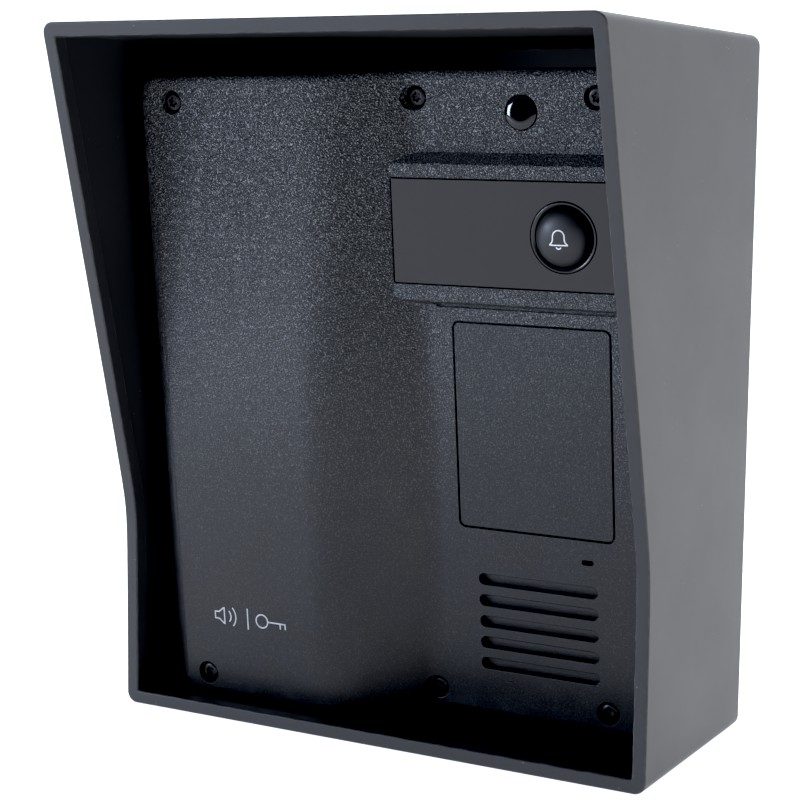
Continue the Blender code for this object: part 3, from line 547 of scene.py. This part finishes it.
def buildHood():
    # rings from the back's outer edge forwards, over the rim and inside again to the inner back
    edge, rim, wall = hood["edge"], hood["rim"], hood["wall"]
    rough = hood["unevenness"]
    turn = np.linspace(0, math.pi / 2, 5)
    levels = [hoodLevel(inset, fromBack=away) for inset, away in ((0.7, 0.0), (0.2, 0.2), (0.0, 0.7))]
    levels += [hoodLevel(0.0, fromBack=away) for away in (15.0, 40.0)]
    levels += [hoodLevel(0.0, behind=12.0)]
    levels += [hoodLevel(edge * (1 - np.cos(t)), behind=edge * (1 - np.sin(t))) for t in turn]
    for t in turn:
        inset = rim - edge * (1 - np.sin(t))
        levels.append(hoodLevel(inset, behind=edge * (1 - np.cos(t)), rough=rough))
    levels += [hoodLevel(rim, behind=hood["rimDepth"] - 0.4)]
    levels += [hoodLevel(rim - 0.3, behind=hood["rimDepth"])]
    levels += [hoodLevel(wall + 0.2, behind=hood["rimDepth"])]
    levels += [hoodLevel(wall, behind=hood["rimDepth"] + 0.3)]
    levels += [hoodLevel(wall, fromBack=wall + 30), hoodLevel(wall, fromBack=wall + 0.6)]
    levels += [hoodLevel(wall + 0.6, fromBack=wall)]
    piece = objectFrom("weatherHood", skinOf(np.array(levels)), True)
    cutters = []
    hole, head = hood["wallHole"], hood["wallHead"]
    countersink = [(0, 1), (hole, 1), (hole, -1.2), (head, -3.2), (head, -4), (0, -4)]
    across, upwards = hood["wallHolesAt"]
    for x in (-across, across):
        for z in (-upwards, upwards):
            cutters.append(turnedAt(countersink, (x, z), hood["holeSides"]))
    for number in range(1, 5):
        cutters.append(boredAt(f"housing_screw_{number}", hood["screwHole"]))
    cutters.append(boredAt("cable_grommet", hood["cableHole"]))
    carve(piece, "DIFFERENCE", together(cutters), True)
    return finishPiece(piece, "absSatinHood", "station", "hood_shell", 28.0)


buildHood()
print("hood made")

shellLow, shellHigh = faceBox("face_shell")
shell = {
    "rise": -shellLow[1],  # of the bulge above the lower level
    "half": shellHigh[0],
    "length": shellHigh[2],
    "back": 9.0,
    "corner": 6.5,
    "wall": 2.5,
    "ridge": -17.0,  # where the slope's line meets the plateau's
    "foot": 8.2,  # and where it meets the lower level's
    "ridgeRound": 27.0,
    "footRound": 12.0,
    "rim": 2.5,
    "rimLeft": 5.8,
    "postRadius": 5.6,  # solid posts behind the screws
    "seat": 2.85,  # thicker ground around the blank plate
    "ledge": 1.75,  # that the plate rests on
}
pad = {
    "rise": 4.8,
    "foot": (0.2, 75.6, 6.9, 7.2),  # left and right, then past the strip below and above
    "footCorner": 3.2,
    "front": (0.7, 73.2, 5.0, 4.3),
    "frontCorner": 2.4,
}
openings = {
    "through": 6.0,  # past the back of the wall
    "stripGap": 0.3,
    "stripFloor": -2.0,
    "creaseEnds": (12.5, 74.5),
    "creaseBelow": 0.5,  # how far the crease under the pad reaches below the pad's foot
    "creaseAbove": 0.8,
    "creaseDepth": 0.8,
    "lens": 5.0,
    "plateGap": 0.45,
    "plateDepth": 1.8,
    "slots": 5,
    "slotLength": 38.0,
    "slotHeight": 3.3,
    "slotPitch": 6.57,
    "mic": (1.8, 0.75),
    "counterbore": 3.45,
    "counterboreDepth": 3.3,
    "bezel": 10.25,
    "screwShank": 1.85,
}


def bulgeSection(inset, steps):
    # x and rise across the face: the plateau, an arc down, the straight slope and an arc to the
    # lower level
    slope = math.atan(shell["rise"] / (shell["foot"] - shell["ridge"]))
    shift = inset * math.tan(slope / 2)
    ridgeRound, footRound = shell["ridgeRound"] - inset, shell["footRound"] + inset
    turn = np.linspace(0, slope, steps)
    ridgeX = shell["ridge"] - shift - ridgeRound * math.tan(slope / 2)
    footX = shell["foot"] - shift + footRound * math.tan(slope / 2)
    x = np.concatenate([ridgeX + ridgeRound * np.sin(turn), footX - footRound * np.sin(turn[::-1])])
    top = shell["rise"] - inset - ridgeRound * (1 - np.cos(turn))
    foot = footRound * (1 - np.cos(turn[::-1])) - inset
    return x, np.concatenate([top, foot])


def faceBlank(inset, back, arcSteps=10, rimSteps=8):
    # the closed face: an outline with a rim turned in over a quarter circle, then the section between
    half, corner, low = shell["half"] - inset, shell["corner"] - inset, inset
    left, other = max(shell["rimLeft"] - inset, 0.6), max(shell["rim"] - inset, 0.6)
    sectionX, sectionRise = bulgeSection(inset, 14)
    turn = np.linspace(0, math.pi / 2, arcSteps)
    arc = corner * np.stack([1 - np.cos(turn), 1 - np.sin(turn)], -1)
    flat = np.ones(len(sectionX))
    x = np.concatenate([arc[:, 0] - half, sectionX, half - arc[::-1, 0]])
    z = np.concatenate([low + arc[:, 1], low * flat, low + arc[::-1, 1]])
    inX = np.concatenate([np.cos(turn), 0 * flat, -np.cos(turn[::-1])])
    inZ = np.concatenate([np.sin(turn), flat, np.sin(turn[::-1])])
    leftRim = left + (other - left) * (turn / turn[-1]) ** 2
    rim = np.concatenate([leftRim, other * flat, other * np.ones(arcSteps)])
    ends = np.ones(arcSteps)
    rise = np.concatenate([(shell["rise"] - inset) * ends, sectionRise, -inset * ends])
    tilt = np.linspace(0, math.pi / 2, rimSteps)[:, None]
    inwards = rim * (1 - np.cos(tilt))
    depth = -(rise - rim * (1 - np.sin(tilt)))
    placeX, placeZ = x + inX * inwards, z + inZ * inwards
    placeX = np.concatenate([placeX[:1], placeX])
    placeZ = np.concatenate([placeZ[:1], placeZ])
    depth = np.concatenate([np.full((1, len(x)), back), depth])
    lower = np.stack([placeX, depth, placeZ], -1)
    upper = np.stack([placeX, depth, shell["length"] - placeZ], -1)[:, ::-1]
    levels = np.concatenate([lower, upper], axis=1)
    points, faces = skinOf(levels, True, False)
    count = levels.shape[1]
    start = (len(levels) - 1) * count
    step = np.arange(count // 2 - 1)
    across = np.stack([step, step + 1, count - 2 - step, count - 1 - step], -1) + start
    return points, faces + across.tolist()


def aroundStrip(reach, corner):
    # an outline from its left and right ends, and its margins below and above the strip
    low, high = faceBox("label_window")
    start, end, below, above = reach
    return ringBetween((start, low[2] - below), (end, high[2] + above), corner, 10)


def padShape():
    # the raised pad around the strip: an outline that shrinks as it rises, and a round at its front
    base = aroundStrip(pad["foot"], pad["footCorner"])
    front = aroundStrip(pad["front"], pad["frontCorner"])
    rise = pad["rise"]
    path = softCorners([(0, 1.5), (0, -0.2), (1, -rise), (1.6, -rise)], [0.5, 1.5], 8)
    share, depth = np.minimum(path[:, 0], 1.0), path[:, 1]
    extra = np.maximum(path[:, 0] - 1.0, 0)
    middle = front.mean(axis=0)
    levels = []
    for s, d, e in zip(share, depth, extra):
        ring = base * (1 - s) + front * s
        ring = ring + np.sign(middle - ring) * np.minimum(e, 0.6)
        levels.append(onFace(ring, d))
    return skinOf(np.array(levels))


def rectangle(low, high, radius, perCorner=6):  # an outline that can grow
    def outline(grow):
        return ringBetween(np.array(low) - grow, np.array(high) + grow, radius + grow, perCorner)

    return outline


def circle(centre, radius, sides=64):  # the same, round
    def outline(grow):
        turn = np.linspace(0, math.tau, sides, endpoint=False)
        return np.array(centre) + (radius + grow) * np.stack([np.cos(turn), np.sin(turn)], -1)

    return outline


def screwPlaces():  # centre and head front of each face screw
    places = []
    for number in range(1, 7):
        low, high = faceBox(f"face_screw_{number}")
        places.append((((low + high) / 2)[[0, 2]], low[1]))
    return places


def buildFaceShell():
    # the closed face less a smaller copy of itself, with posts and a thicker seat left standing,
    # then the pad joined on and the openings cut
    piece = objectFrom("faceShell", faceBlank(0.0, shell["back"]))
    hollow = objectFrom("hollow", faceBlank(shell["wall"], shell["back"] + 3))
    posts = [pinAt(at, shell["postRadius"], -30, 30, 32) for at, _ in screwPlaces()]
    carve(hollow, "DIFFERENCE", together(posts))
    low, high = faceBox("keypad_blank")
    seat = np.array([shell["seat"], 0, shell["seat"]])
    thick = rectangle((low - seat)[[0, 2]], (high + seat)[[0, 2]], 1.0)
    carve(hollow, "DIFFERENCE", skinOf(np.array([onFace(thick(0), -9), onFace(thick(0), 4)])))
    carveWith(piece, "DIFFERENCE", hollow)
    carve(piece, "UNION", padShape())

    cutters = []
    windowLow, windowHigh = faceBox("label_window")
    gap = openings["stripGap"]
    strip = rectangle(windowLow[[0, 2]] - gap, windowHigh[[0, 2]] + gap, 0.7)
    cutters.append(lippedHole(strip, -pad["rise"], openings["stripFloor"], 0.18))
    foot = windowLow[2] - pad["foot"][2]
    start, end = openings["creaseEnds"]
    below, above = foot - openings["creaseBelow"], foot + openings["creaseAbove"]
    crease = rectangle((start, below), (end, above), 0.5)
    cutters.append(lippedHole(crease, 0.0, openings["creaseDepth"], 0.2))
    lensHole = circle(middleOf("status_lens"), openings["lens"])
    cutters.append(lippedHole(lensHole, 0.0, openings["through"], 0.25))
    gap = openings["plateGap"]
    plate = rectangle(low[[0, 2]] - gap, high[[0, 2]] + gap, 2.2, 8)
    cutters.append(lippedHole(plate, 0.0, openings["plateDepth"], 0.22))
    speaker = middleOf("speaker_basket")
    reach = np.array([openings["slotLength"] / 2, openings["slotHeight"] / 2])
    for number in range(openings["slots"]):
        z = speaker[1] + (number - (openings["slots"] - 1) / 2) * openings["slotPitch"]
        slot = rectangle((speaker[0], z) - reach, (speaker[0], z) + reach, reach[1] - 0.02, 10)
        cutters.append(lippedHole(slot, 0.0, openings["through"], 0.4))
    mic, half = middleOf("mic_boot"), openings["mic"]
    cutters.append(lippedHole(rectangle(mic - half, mic + half, 0.6), 0.0, openings["through"], 0.15))
    for at, front in screwPlaces():
        level = front - 0.8
        bore = circle(at, openings["counterbore"])
        cutters.append(lippedHole(bore, level, level + openings["counterboreDepth"], 0.3))
    carve(piece, "DIFFERENCE", together(cutters))

    inner = [pinAt(middleOf("button_bezel"), openings["bezel"], -9, 6)]
    ledge = rectangle(low[[0, 2]] + shell["ledge"], high[[0, 2]] - shell["ledge"], 1.5)
    inner.append(skinOf(np.array([onFace(ledge(0), 0.5), onFace(ledge(0), 7)])))
    for at, front in screwPlaces():
        inner.append(pinAt(at, openings["screwShank"], front, 13, 24))
    carve(piece, "DIFFERENCE", together(inner))
    return finishPiece(piece, "absSparkGrain", "station", "face_shell", 30.0)


buildFaceShell()
print("face shell made")

strip = {"corner": 0.5, "edge": 0.2, "buttonHole": 10.2}
blank = {"corner": 1.9, "edge": 0.35, "thickness": 1.5}
button = {"bezelFront": 9.9, "bore": 8.5, "cap": 8.15, "domeRise": 3.7, "domePower": 2.45}
lens = {"radius": 4.7, "flange": 6.2, "setBack": 0.3, "sag": 0.35, "sagPower": 5.0, "lean": 0.12}
screw = {
    "lobe": 0.5,  # this and the next two are shares of the head's radius
    "valley": 0.36,
    "headDepth": 0.72,
    "shank": 1.5,
    "sides": 96,
}


def slab(node, corner, edge, back, steps, perCorner):
    # a plate whose front edge is a quarter round: the outline grows as the depth passes the round
    low, high = faceBox(node)
    outline = rectangle(low[[0, 2]], high[[0, 2]], corner, perCorner)
    turn = np.linspace(0, math.pi / 2, steps)
    grow = np.concatenate([-edge * (1 - np.sin(turn)), [0.0]])
    depth = np.concatenate([low[1] + edge * (1 - np.cos(turn)), [back]])
    return skinOf(np.array([onFace(outline(g), d) for g, d in zip(grow, depth)]))


def buildStrip():  # a slab with the button's hole in it
    back = faceBox("label_window")[1][1]
    shape = slab("label_window", strip["corner"], strip["edge"], back, 4, 6)
    piece = objectFrom("acrylicStrip", shape)
    hole = pinAt(middleOf("button_bezel"), strip["buttonHole"], -9, 3, 128)
    carve(piece, "DIFFERENCE", hole)
    return finishPiece(piece, "acrylicBlack", "station", "label_window")


def buildBlank():  # a slab a little thinner than its seat is deep
    back = faceBox("keypad_blank")[0][1] + blank["thickness"]
    shape = slab("keypad_blank", blank["corner"], blank["edge"], back, 5, 8)
    piece = objectFrom("blankPlate", shape)
    return finishPiece(piece, "absSparkGrainPlate", "station", "keypad_blank")


def buildBezel():
    # a ring: its section, with softened corners, turned about the button's axis
    front, outer, bore = -pad["rise"], button["bezelFront"], button["bore"]
    profile = [
        (outer, 2.8), (outer, front), (outer - 0.5, front), (bore + 0.1, front + 0.45),
        (bore, front + 0.9), (bore, 4.3), (12.0, 4.3), (12.0, 2.8),
    ]
    soft = softCorners(profile + profile[:1], [0.35, 0.25, 0.3, 0.4, 0.1, 0.1, 0.1])
    piece = objectFrom("buttonBezel", turnedAt(soft[:-1], middleOf("button_bezel")))
    return finishPiece(piece, "absGlossBezel", "station", "button_bezel")


def domeDepth(radius):  # the cap's front: a superellipse from its rim to its middle
    share = np.clip(np.asarray(radius) / button["cap"], 0, 1)
    power = button["domePower"]
    capFront = faceBox("button_cap")[0][1]
    return capFront + button["domeRise"] * (1 - (1 - share**power) ** (1 / power))


def buildCap():
    # the dome, then its skirt, its hollow and its stem, turned about the button's axis
    turn = np.linspace(0, math.pi / 2, 22)
    radius = button["cap"] * np.sin(turn)
    dome = np.stack([radius, domeDepth(radius)], -1)
    back = faceBox("button_cap")[1][1]
    rest = softCorners(
        [
            (button["cap"], back - 1.2), (9.4, back - 1.2), (9.4, back), (7.3, back), (7.3, -5.2),
            (6.7, -6.1), (1.6, -6.1), (1.6, 2.95), (0, 2.95),
        ],
        [0.15, 0.15, 0.15, 0.4, 0.4, 0.3, 0.2],
        4,
    )
    piece = objectFrom("buttonCap", turnedAt(np.concatenate([dome, rest]), middleOf("button_cap")))
    return finishPiece(piece, "absSatinCap", "call_button", "button_cap")


def buildLens():
    # a front that sags by a power of the radius, over a stepped body, all turned about its axis
    low = faceBox("status_lens")[0]
    edge, flange = lens["radius"], lens["flange"]
    radius = np.linspace(0, edge, 20)
    sag = lens["sag"] * (radius / edge) ** lens["sagPower"]
    dome = np.stack([radius, low[1] + lens["setBack"] + sag], -1)
    rest = softCorners([(edge, 2.8), (flange, 2.8), (flange, 3.8), (0, 3.8)], [0.1, 0.1])
    points, faces = turnedAt(np.concatenate([dome, rest]), middleOf("status_lens"))
    lean = lens["lean"] * (points[:, 2] - middleOf("status_lens")[1])
    points[:, 1] += np.where(points[:, 1] < 2.0, lean, 0.0)  # it stands nearer upright than the face
    piece = objectFrom("statusLens", (points, faces))
    return finishPiece(piece, "acrylicBlack", "station", "status_lens")


def starRing(outer, inner, sides=96, turned=0.3):
    # the drive's six-lobed outline: a radius that swings between two values six times a turn
    turn = np.linspace(0, math.tau, sides, endpoint=False)
    swing = 0.5 + 0.5 * np.cos(6 * (turn + turned))
    return inner + (outer - inner) * swing**0.8


def buildScrew(number):
    # a pan head: the recess's lobed ring runs out into plain circles, with a depth for each
    low, high = faceBox(f"face_screw_{number}")
    at = ((low + high) / 2)[[0, 2]]
    head, shank = (high[0] - low[0]) / 2, screw["shank"]
    front, seat, tip = low[1], low[1] + screw["headDepth"] * head, high[1]
    turn = np.linspace(0, math.tau, screw["sides"], endpoint=False)
    star = starRing(screw["lobe"] * head, screw["valley"] * head, screw["sides"])
    plain = np.ones(screw["sides"])
    steps = [  # (radius round the turn, depth) from the recess's floor to the screw's tip
        (0 * plain, front + 1.6), (0.5 * star, front + 1.5), (star * 0.96, front + 1.35),
        (star, front + 1.2), (star, front + 0.12), (star + 0.1, front + 0.02),
        (0.62 * head * plain, front), (0.78 * head * plain, front + 0.1),
        (0.9 * head * plain, front + 0.4), (0.975 * head * plain, front + 0.9),
        (head * plain, seat - 0.5), (head * plain, seat - 0.12), (0.97 * head * plain, seat),
        (shank * plain, seat), (shank * plain, tip - 1.5), (0.4 * plain, tip), (0 * plain, tip),
    ]
    radius = np.array([step[0] for step in steps])
    depth = np.array([step[1] for step in steps])[:, None]
    x = at[0] + radius * np.cos(turn)
    z = at[1] + radius * np.sin(turn)
    levels = np.stack([x, np.broadcast_to(depth, x.shape), z], -1)
    piece = objectFrom(f"faceScrew{number}", skinOf(levels, False, False))
    return finishPiece(piece, "steelBlackOxide", "station", f"face_screw_{number}", 28.0)


buildStrip()
buildBezel()
buildCap()
buildLens()
buildBlank()
for screwNumber in range(1, 7):
    buildScrew(screwNumber)
print("pieces of the face made")

bell = {
    "line": 0.36,
    "crown": 1.75,
    "flare": 1.05,
    "flarePower": 3.5,
    "foot": -1.55,
    "shoulder": 0.75,
}
pictograms = {"line": 0.42, "at": (-47.5, 26.5)}
inkFilm = 0.03  # half the ink's thickness


def strokeAlong(path, width, depthOf, closed=False):
    # a flat line of ink: a thin rectangle carried along a path, following the depth of the surface
    path = np.asarray(path, float)
    if closed:
        ahead = np.roll(path, -1, axis=0) - np.roll(path, 1, axis=0)
    else:
        ahead = np.gradient(path, axis=0)
    ahead /= np.linalg.norm(ahead, axis=1, keepdims=True)
    side = np.stack([-ahead[:, 1], ahead[:, 0]], -1) * width / 2
    film = inkFilm
    corners = []
    for offset, lift in ((side, -film), (-side, -film), (-side, film), (side, film)):
        place = path + offset
        corners.append(onFace(place, depthOf(place) + lift))
    levels = np.stack(corners, 1)
    if closed:
        levels = np.concatenate([levels, levels[:1]])
    return skinOf(levels, not closed, not closed)


def arcPath(centre, radius, start, end, steps=20):  # its centre plus the radius at each angle
    turn = np.radians(np.linspace(start, end, steps))
    return np.array(centre) + radius * np.stack([np.cos(turn), np.sin(turn)], -1)


def buildBell():
    # a bell in outline: a half circle for its crown, sides that flare by a power, and a clapper below
    at = middleOf("button_cap")
    crown, shoulder, foot, line = bell["crown"], bell["shoulder"], bell["foot"], bell["line"]
    height = np.linspace(foot, shoulder, 16)
    flare = crown + bell["flare"] * ((shoulder - height) / (shoulder - foot)) ** bell["flarePower"]
    leftSide = np.stack([-flare, height], -1)
    top = arcPath((0, shoulder), crown, 180, 0, 24)[1:-1]
    rightSide = np.stack([flare, height], -1)[::-1]
    wide = crown + bell["flare"]
    brim = np.stack([np.linspace(wide, -wide, 12)[1:-1], np.full(10, foot - 0.05)], -1)
    body = np.concatenate([leftSide, top, rightSide, brim])
    clapper = arcPath((0, -1.9), 0.75, 200, 340, 12)

    def depthOf(place):
        return domeDepth(np.linalg.norm(place - at, axis=1))

    parts = [strokeAlong(body + at, line, depthOf, True), strokeAlong(clapper + at, line, depthOf)]
    piece = objectFrom("bellPrint", together(parts))
    return finishPiece(piece, "inkWhite", "call_button")


def buildPictograms():
    # a loudspeaker with two sound arcs, a short upright rule, and a key, all in one line width
    at = np.array(pictograms["at"])
    line = pictograms["line"]

    def plateau(place):
        return np.full(len(place), -shell["rise"])

    horn = [(-12.6, -1.1), (-11.2, -1.1), (-9.2, -2.7), (-9.2, 2.7), (-11.2, 1.1), (-12.6, 1.1)]
    horn = np.array(horn)
    share = np.linspace(0, 1, 8, endpoint=False)[None, :, None]
    horn = (horn[:, None] * (1 - share) + np.roll(horn, -1, axis=0)[:, None] * share).reshape(-1, 2)
    ring = arcPath((4.6, 0), 2.1, 0, 360, 40)[:-1]
    shaft = np.stack([np.linspace(6.7, 13.2, 12), np.zeros(12)], -1)
    strokes = [
        (horn, True),
        (arcPath((-9.4, 0), 2.6, -42, 42), False),
        (arcPath((-9.4, 0), 4.4, -42, 42), False),
        (np.stack([np.zeros(8) - 0.6, np.linspace(-3.4, 3.4, 8)], -1), False),
        (ring, True),
        (shaft, False),
        (np.stack([np.full(5, 11.2), np.linspace(-0.1, -1.7, 5)], -1), False),
        (np.stack([np.full(5, 13.0), np.linspace(-0.1, -1.7, 5)], -1), False),
    ]
    parts = [strokeAlong(path + at, line, plateau, closed) for path, closed in strokes]
    piece = objectFrom("pictogramPrint", together(parts))
    return finishPiece(piece, "inkPaleGrey", "station")


buildBell()
buildPictograms()
print("printing made")

# the CAD pieces that stay, each with its own finish
nodeFinish = {
    "absMatteBlack": [
        "rear_housing", "battery_tray", "tact_switch_body", "pairing_switch_body", "capacitor",
    ],
    "absSparkGrain": ["speaker_screen"],
    "absGlossBezel": ["tact_switch_plunger", "pairing_switch_plunger"],
    "rubberEpdm": ["housing_gasket", "cable_grommet", "mic_boot", "aerial"],
    "steelZincPlated": [
        *(f"housing_screw_{n}" for n in range(1, 5)), *(f"board_screw_{n}" for n in range(1, 5)),
        "tray_screw_1", "tray_screw_2", "battery_contact_plus", "radio_module", "mic_capsule",
        "speaker_magnet",
    ],
    "steelSpring": ["button_spring", "battery_contact_minus"],
    "steelBlackOxide": ["speaker_basket"],
    "paperCone": ["speaker_cone"],
    "cardDark": ["name_card"],
    "epoxyClear": ["status_led"],
    "boardSolderResist": ["main_board"],
    "polyamideGreen": ["terminal_block"],
    "polyesterBlue": ["gate_relay", "volume_trimmer_body"],
    "nylonWhite": ["volume_trimmer_rotor"],
    "sleeveDark": [f"battery_cell_{n}" for n in range(1, 4)],
    "vinylRed": ["speaker_lead", "battery_lead"],
}
for finish, names in nodeFinish.items():
    for name in names:
        for slot in nodes[name].material_slots:
            slot.material = made[finish]

springEnd = faceBox("button_spring")[1]
springMiddle = middleOf("button_spring")
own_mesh(nodes["button_spring"])
print("CAD pieces finished")

stageSettings = {"width": 5.0, "front": -6.0, "back": 2.4, "bend": 0.8, "height": 2.6}


def buildStage():
    # a pale floor that bends up into a backdrop: a flat, a quarter circle and a wall, carried along x
    s = stageSettings
    turn = np.linspace(0, math.pi / 2, 16)
    y = np.concatenate([[s["front"]], s["back"] - s["bend"] * (1 - np.sin(turn)), [s["back"]]])
    z = np.concatenate([[0.0], s["bend"] * (1 - np.cos(turn)), [s["height"]]]) + cadLow[2]
    x = np.array([-s["width"], s["width"]])
    points = np.stack(np.broadcast_arrays(x[None], y[:, None], z[:, None]), -1).reshape(-1, 3)
    row = np.arange(len(y) - 1) * 2
    faces = np.stack([row, row + 1, row + 3, row + 2], -1).tolist()
    mesh = bpy.data.meshes.new("paleSweep")
    mesh.from_pydata(points, [], faces)
    mesh.shade_smooth()
    sweep = bpy.data.objects.new("paleSweep", mesh)
    scene.collection.objects.link(sweep)
    paper = bpy.data.materials.new("paleStudioPaper")
    paper.use_nodes = True
    shader = paper.node_tree.nodes["Principled BSDF"]
    shader.inputs["Base Color"].default_value = toLinear("#f4f4f4")
    shader.inputs["Roughness"].default_value = 0.9
    shader.inputs["Emission Color"].default_value = toLinear("#f1f5ff")
    shader.inputs["Emission Strength"].default_value = 1.06
    mesh.materials.append(paper)


softboxes = {
    "keyLeft": {
        "place": (-1.55, -1.66, 0.27), "target": (0, -0.06, 0.0), "size": (0.6, 0.5),
        "power": 29.0, "colour": "#d6e4ff",
    },
    "sideRight": {
        "place": (1.279, 0.331, -0.02), "target": (0.0, -0.06, 0.0), "size": (0.9, 0.9),
        "power": 9.0, "colour": "#fff2e0",
    },
    "topBack": {
        "place": (0.0, 0.9, 1.5), "target": (0.0, 0.0, 0.1), "size": (1.2, 1.0),
        "power": 22.0, "colour": "#ffffff",
    },
}


def addSoftbox(name, place, target, size, power, colour):  # a flat lamp facing its target
    light = bpy.data.lights.new(name, "AREA")
    light.shape, light.size, light.size_y = "RECTANGLE", size[0], size[1]
    light.energy = power
    light.color = toLinear(colour)[:3]
    holder = bpy.data.objects.new(name, light)
    scene.collection.objects.link(holder)
    holder.location = place
    aim = Vector(target) - Vector(place)
    holder.rotation_euler = aim.to_track_quat("-Z", "Y").to_euler()


cameraSettings = {
    "turns": (28.74, 6.57, 0.74),  # degrees: to the left of straight ahead, down, and about its axis
    "place": (0.27785, -0.55639, 0.07269),
    "sensor": 36.0,
    "lens": 87.57,
    "shift": (-0.018, -0.046),
    "clip": (0.01, 20.0),
}


def addCamera():
    # forward from yaw and pitch, a level axis across it, and both turned by the roll
    yaw, pitch, roll = np.radians(cameraSettings["turns"])
    flat = math.cos(pitch)
    forward = np.array([-math.sin(yaw) * flat, math.cos(yaw) * flat, -math.sin(pitch)])
    level = np.array([math.cos(yaw), math.sin(yaw), 0.0])
    up = np.cross(level, forward)
    across = math.cos(roll) * level + math.sin(roll) * up
    upright = -math.sin(roll) * level + math.cos(roll) * up
    data = bpy.data.cameras.new("studioCamera")
    data.sensor_width, data.lens = cameraSettings["sensor"], cameraSettings["lens"]
    data.shift_x, data.shift_y = cameraSettings["shift"]
    data.clip_start, data.clip_end = cameraSettings["clip"]
    camera = bpy.data.objects.new("studioCamera", data)
    scene.collection.objects.link(camera)
    matrix = Matrix.Identity(4)
    for column, axis in enumerate((across, upright, -forward)):
        for line in range(3):
            matrix[line][column] = axis[line]
    matrix.translation = cameraSettings["place"]
    camera.matrix_world = matrix
    scene.camera = camera


buildStage()
for boxName, box in softboxes.items():
    addSoftbox(boxName, **box)
world = bpy.data.worlds.new("studioWorld")
scene.world = world
world.use_nodes = True
backdrop = world.node_tree.nodes["Background"]
backdrop.inputs["Color"].default_value = (1, 1, 1, 1)
# pale where it is seen past the floor's edge, and nearly dark as a light, for a contrasty studio
pale = span(0.0, 1.0, 0.02, 1.2)
seen = addNode(world.node_tree, "ShaderNodeLightPath").outputs["Is Camera Ray"]
glow = addNode(world.node_tree, "ShaderNodeMapRange", smoothStep, pale, {"Value": seen})
world.node_tree.links.new(glow.outputs[0], backdrop.inputs["Strength"])
scene.view_settings.view_transform = "Standard"
scene.view_settings.use_curve_mapping = True
blackLevel = 0.008  # the deepest shadows print as black
scene.view_settings.curve_mapping.black_level = (blackLevel,) * 3
scene.view_settings.curve_mapping.update()
addCamera()
print("floor, light and camera set")
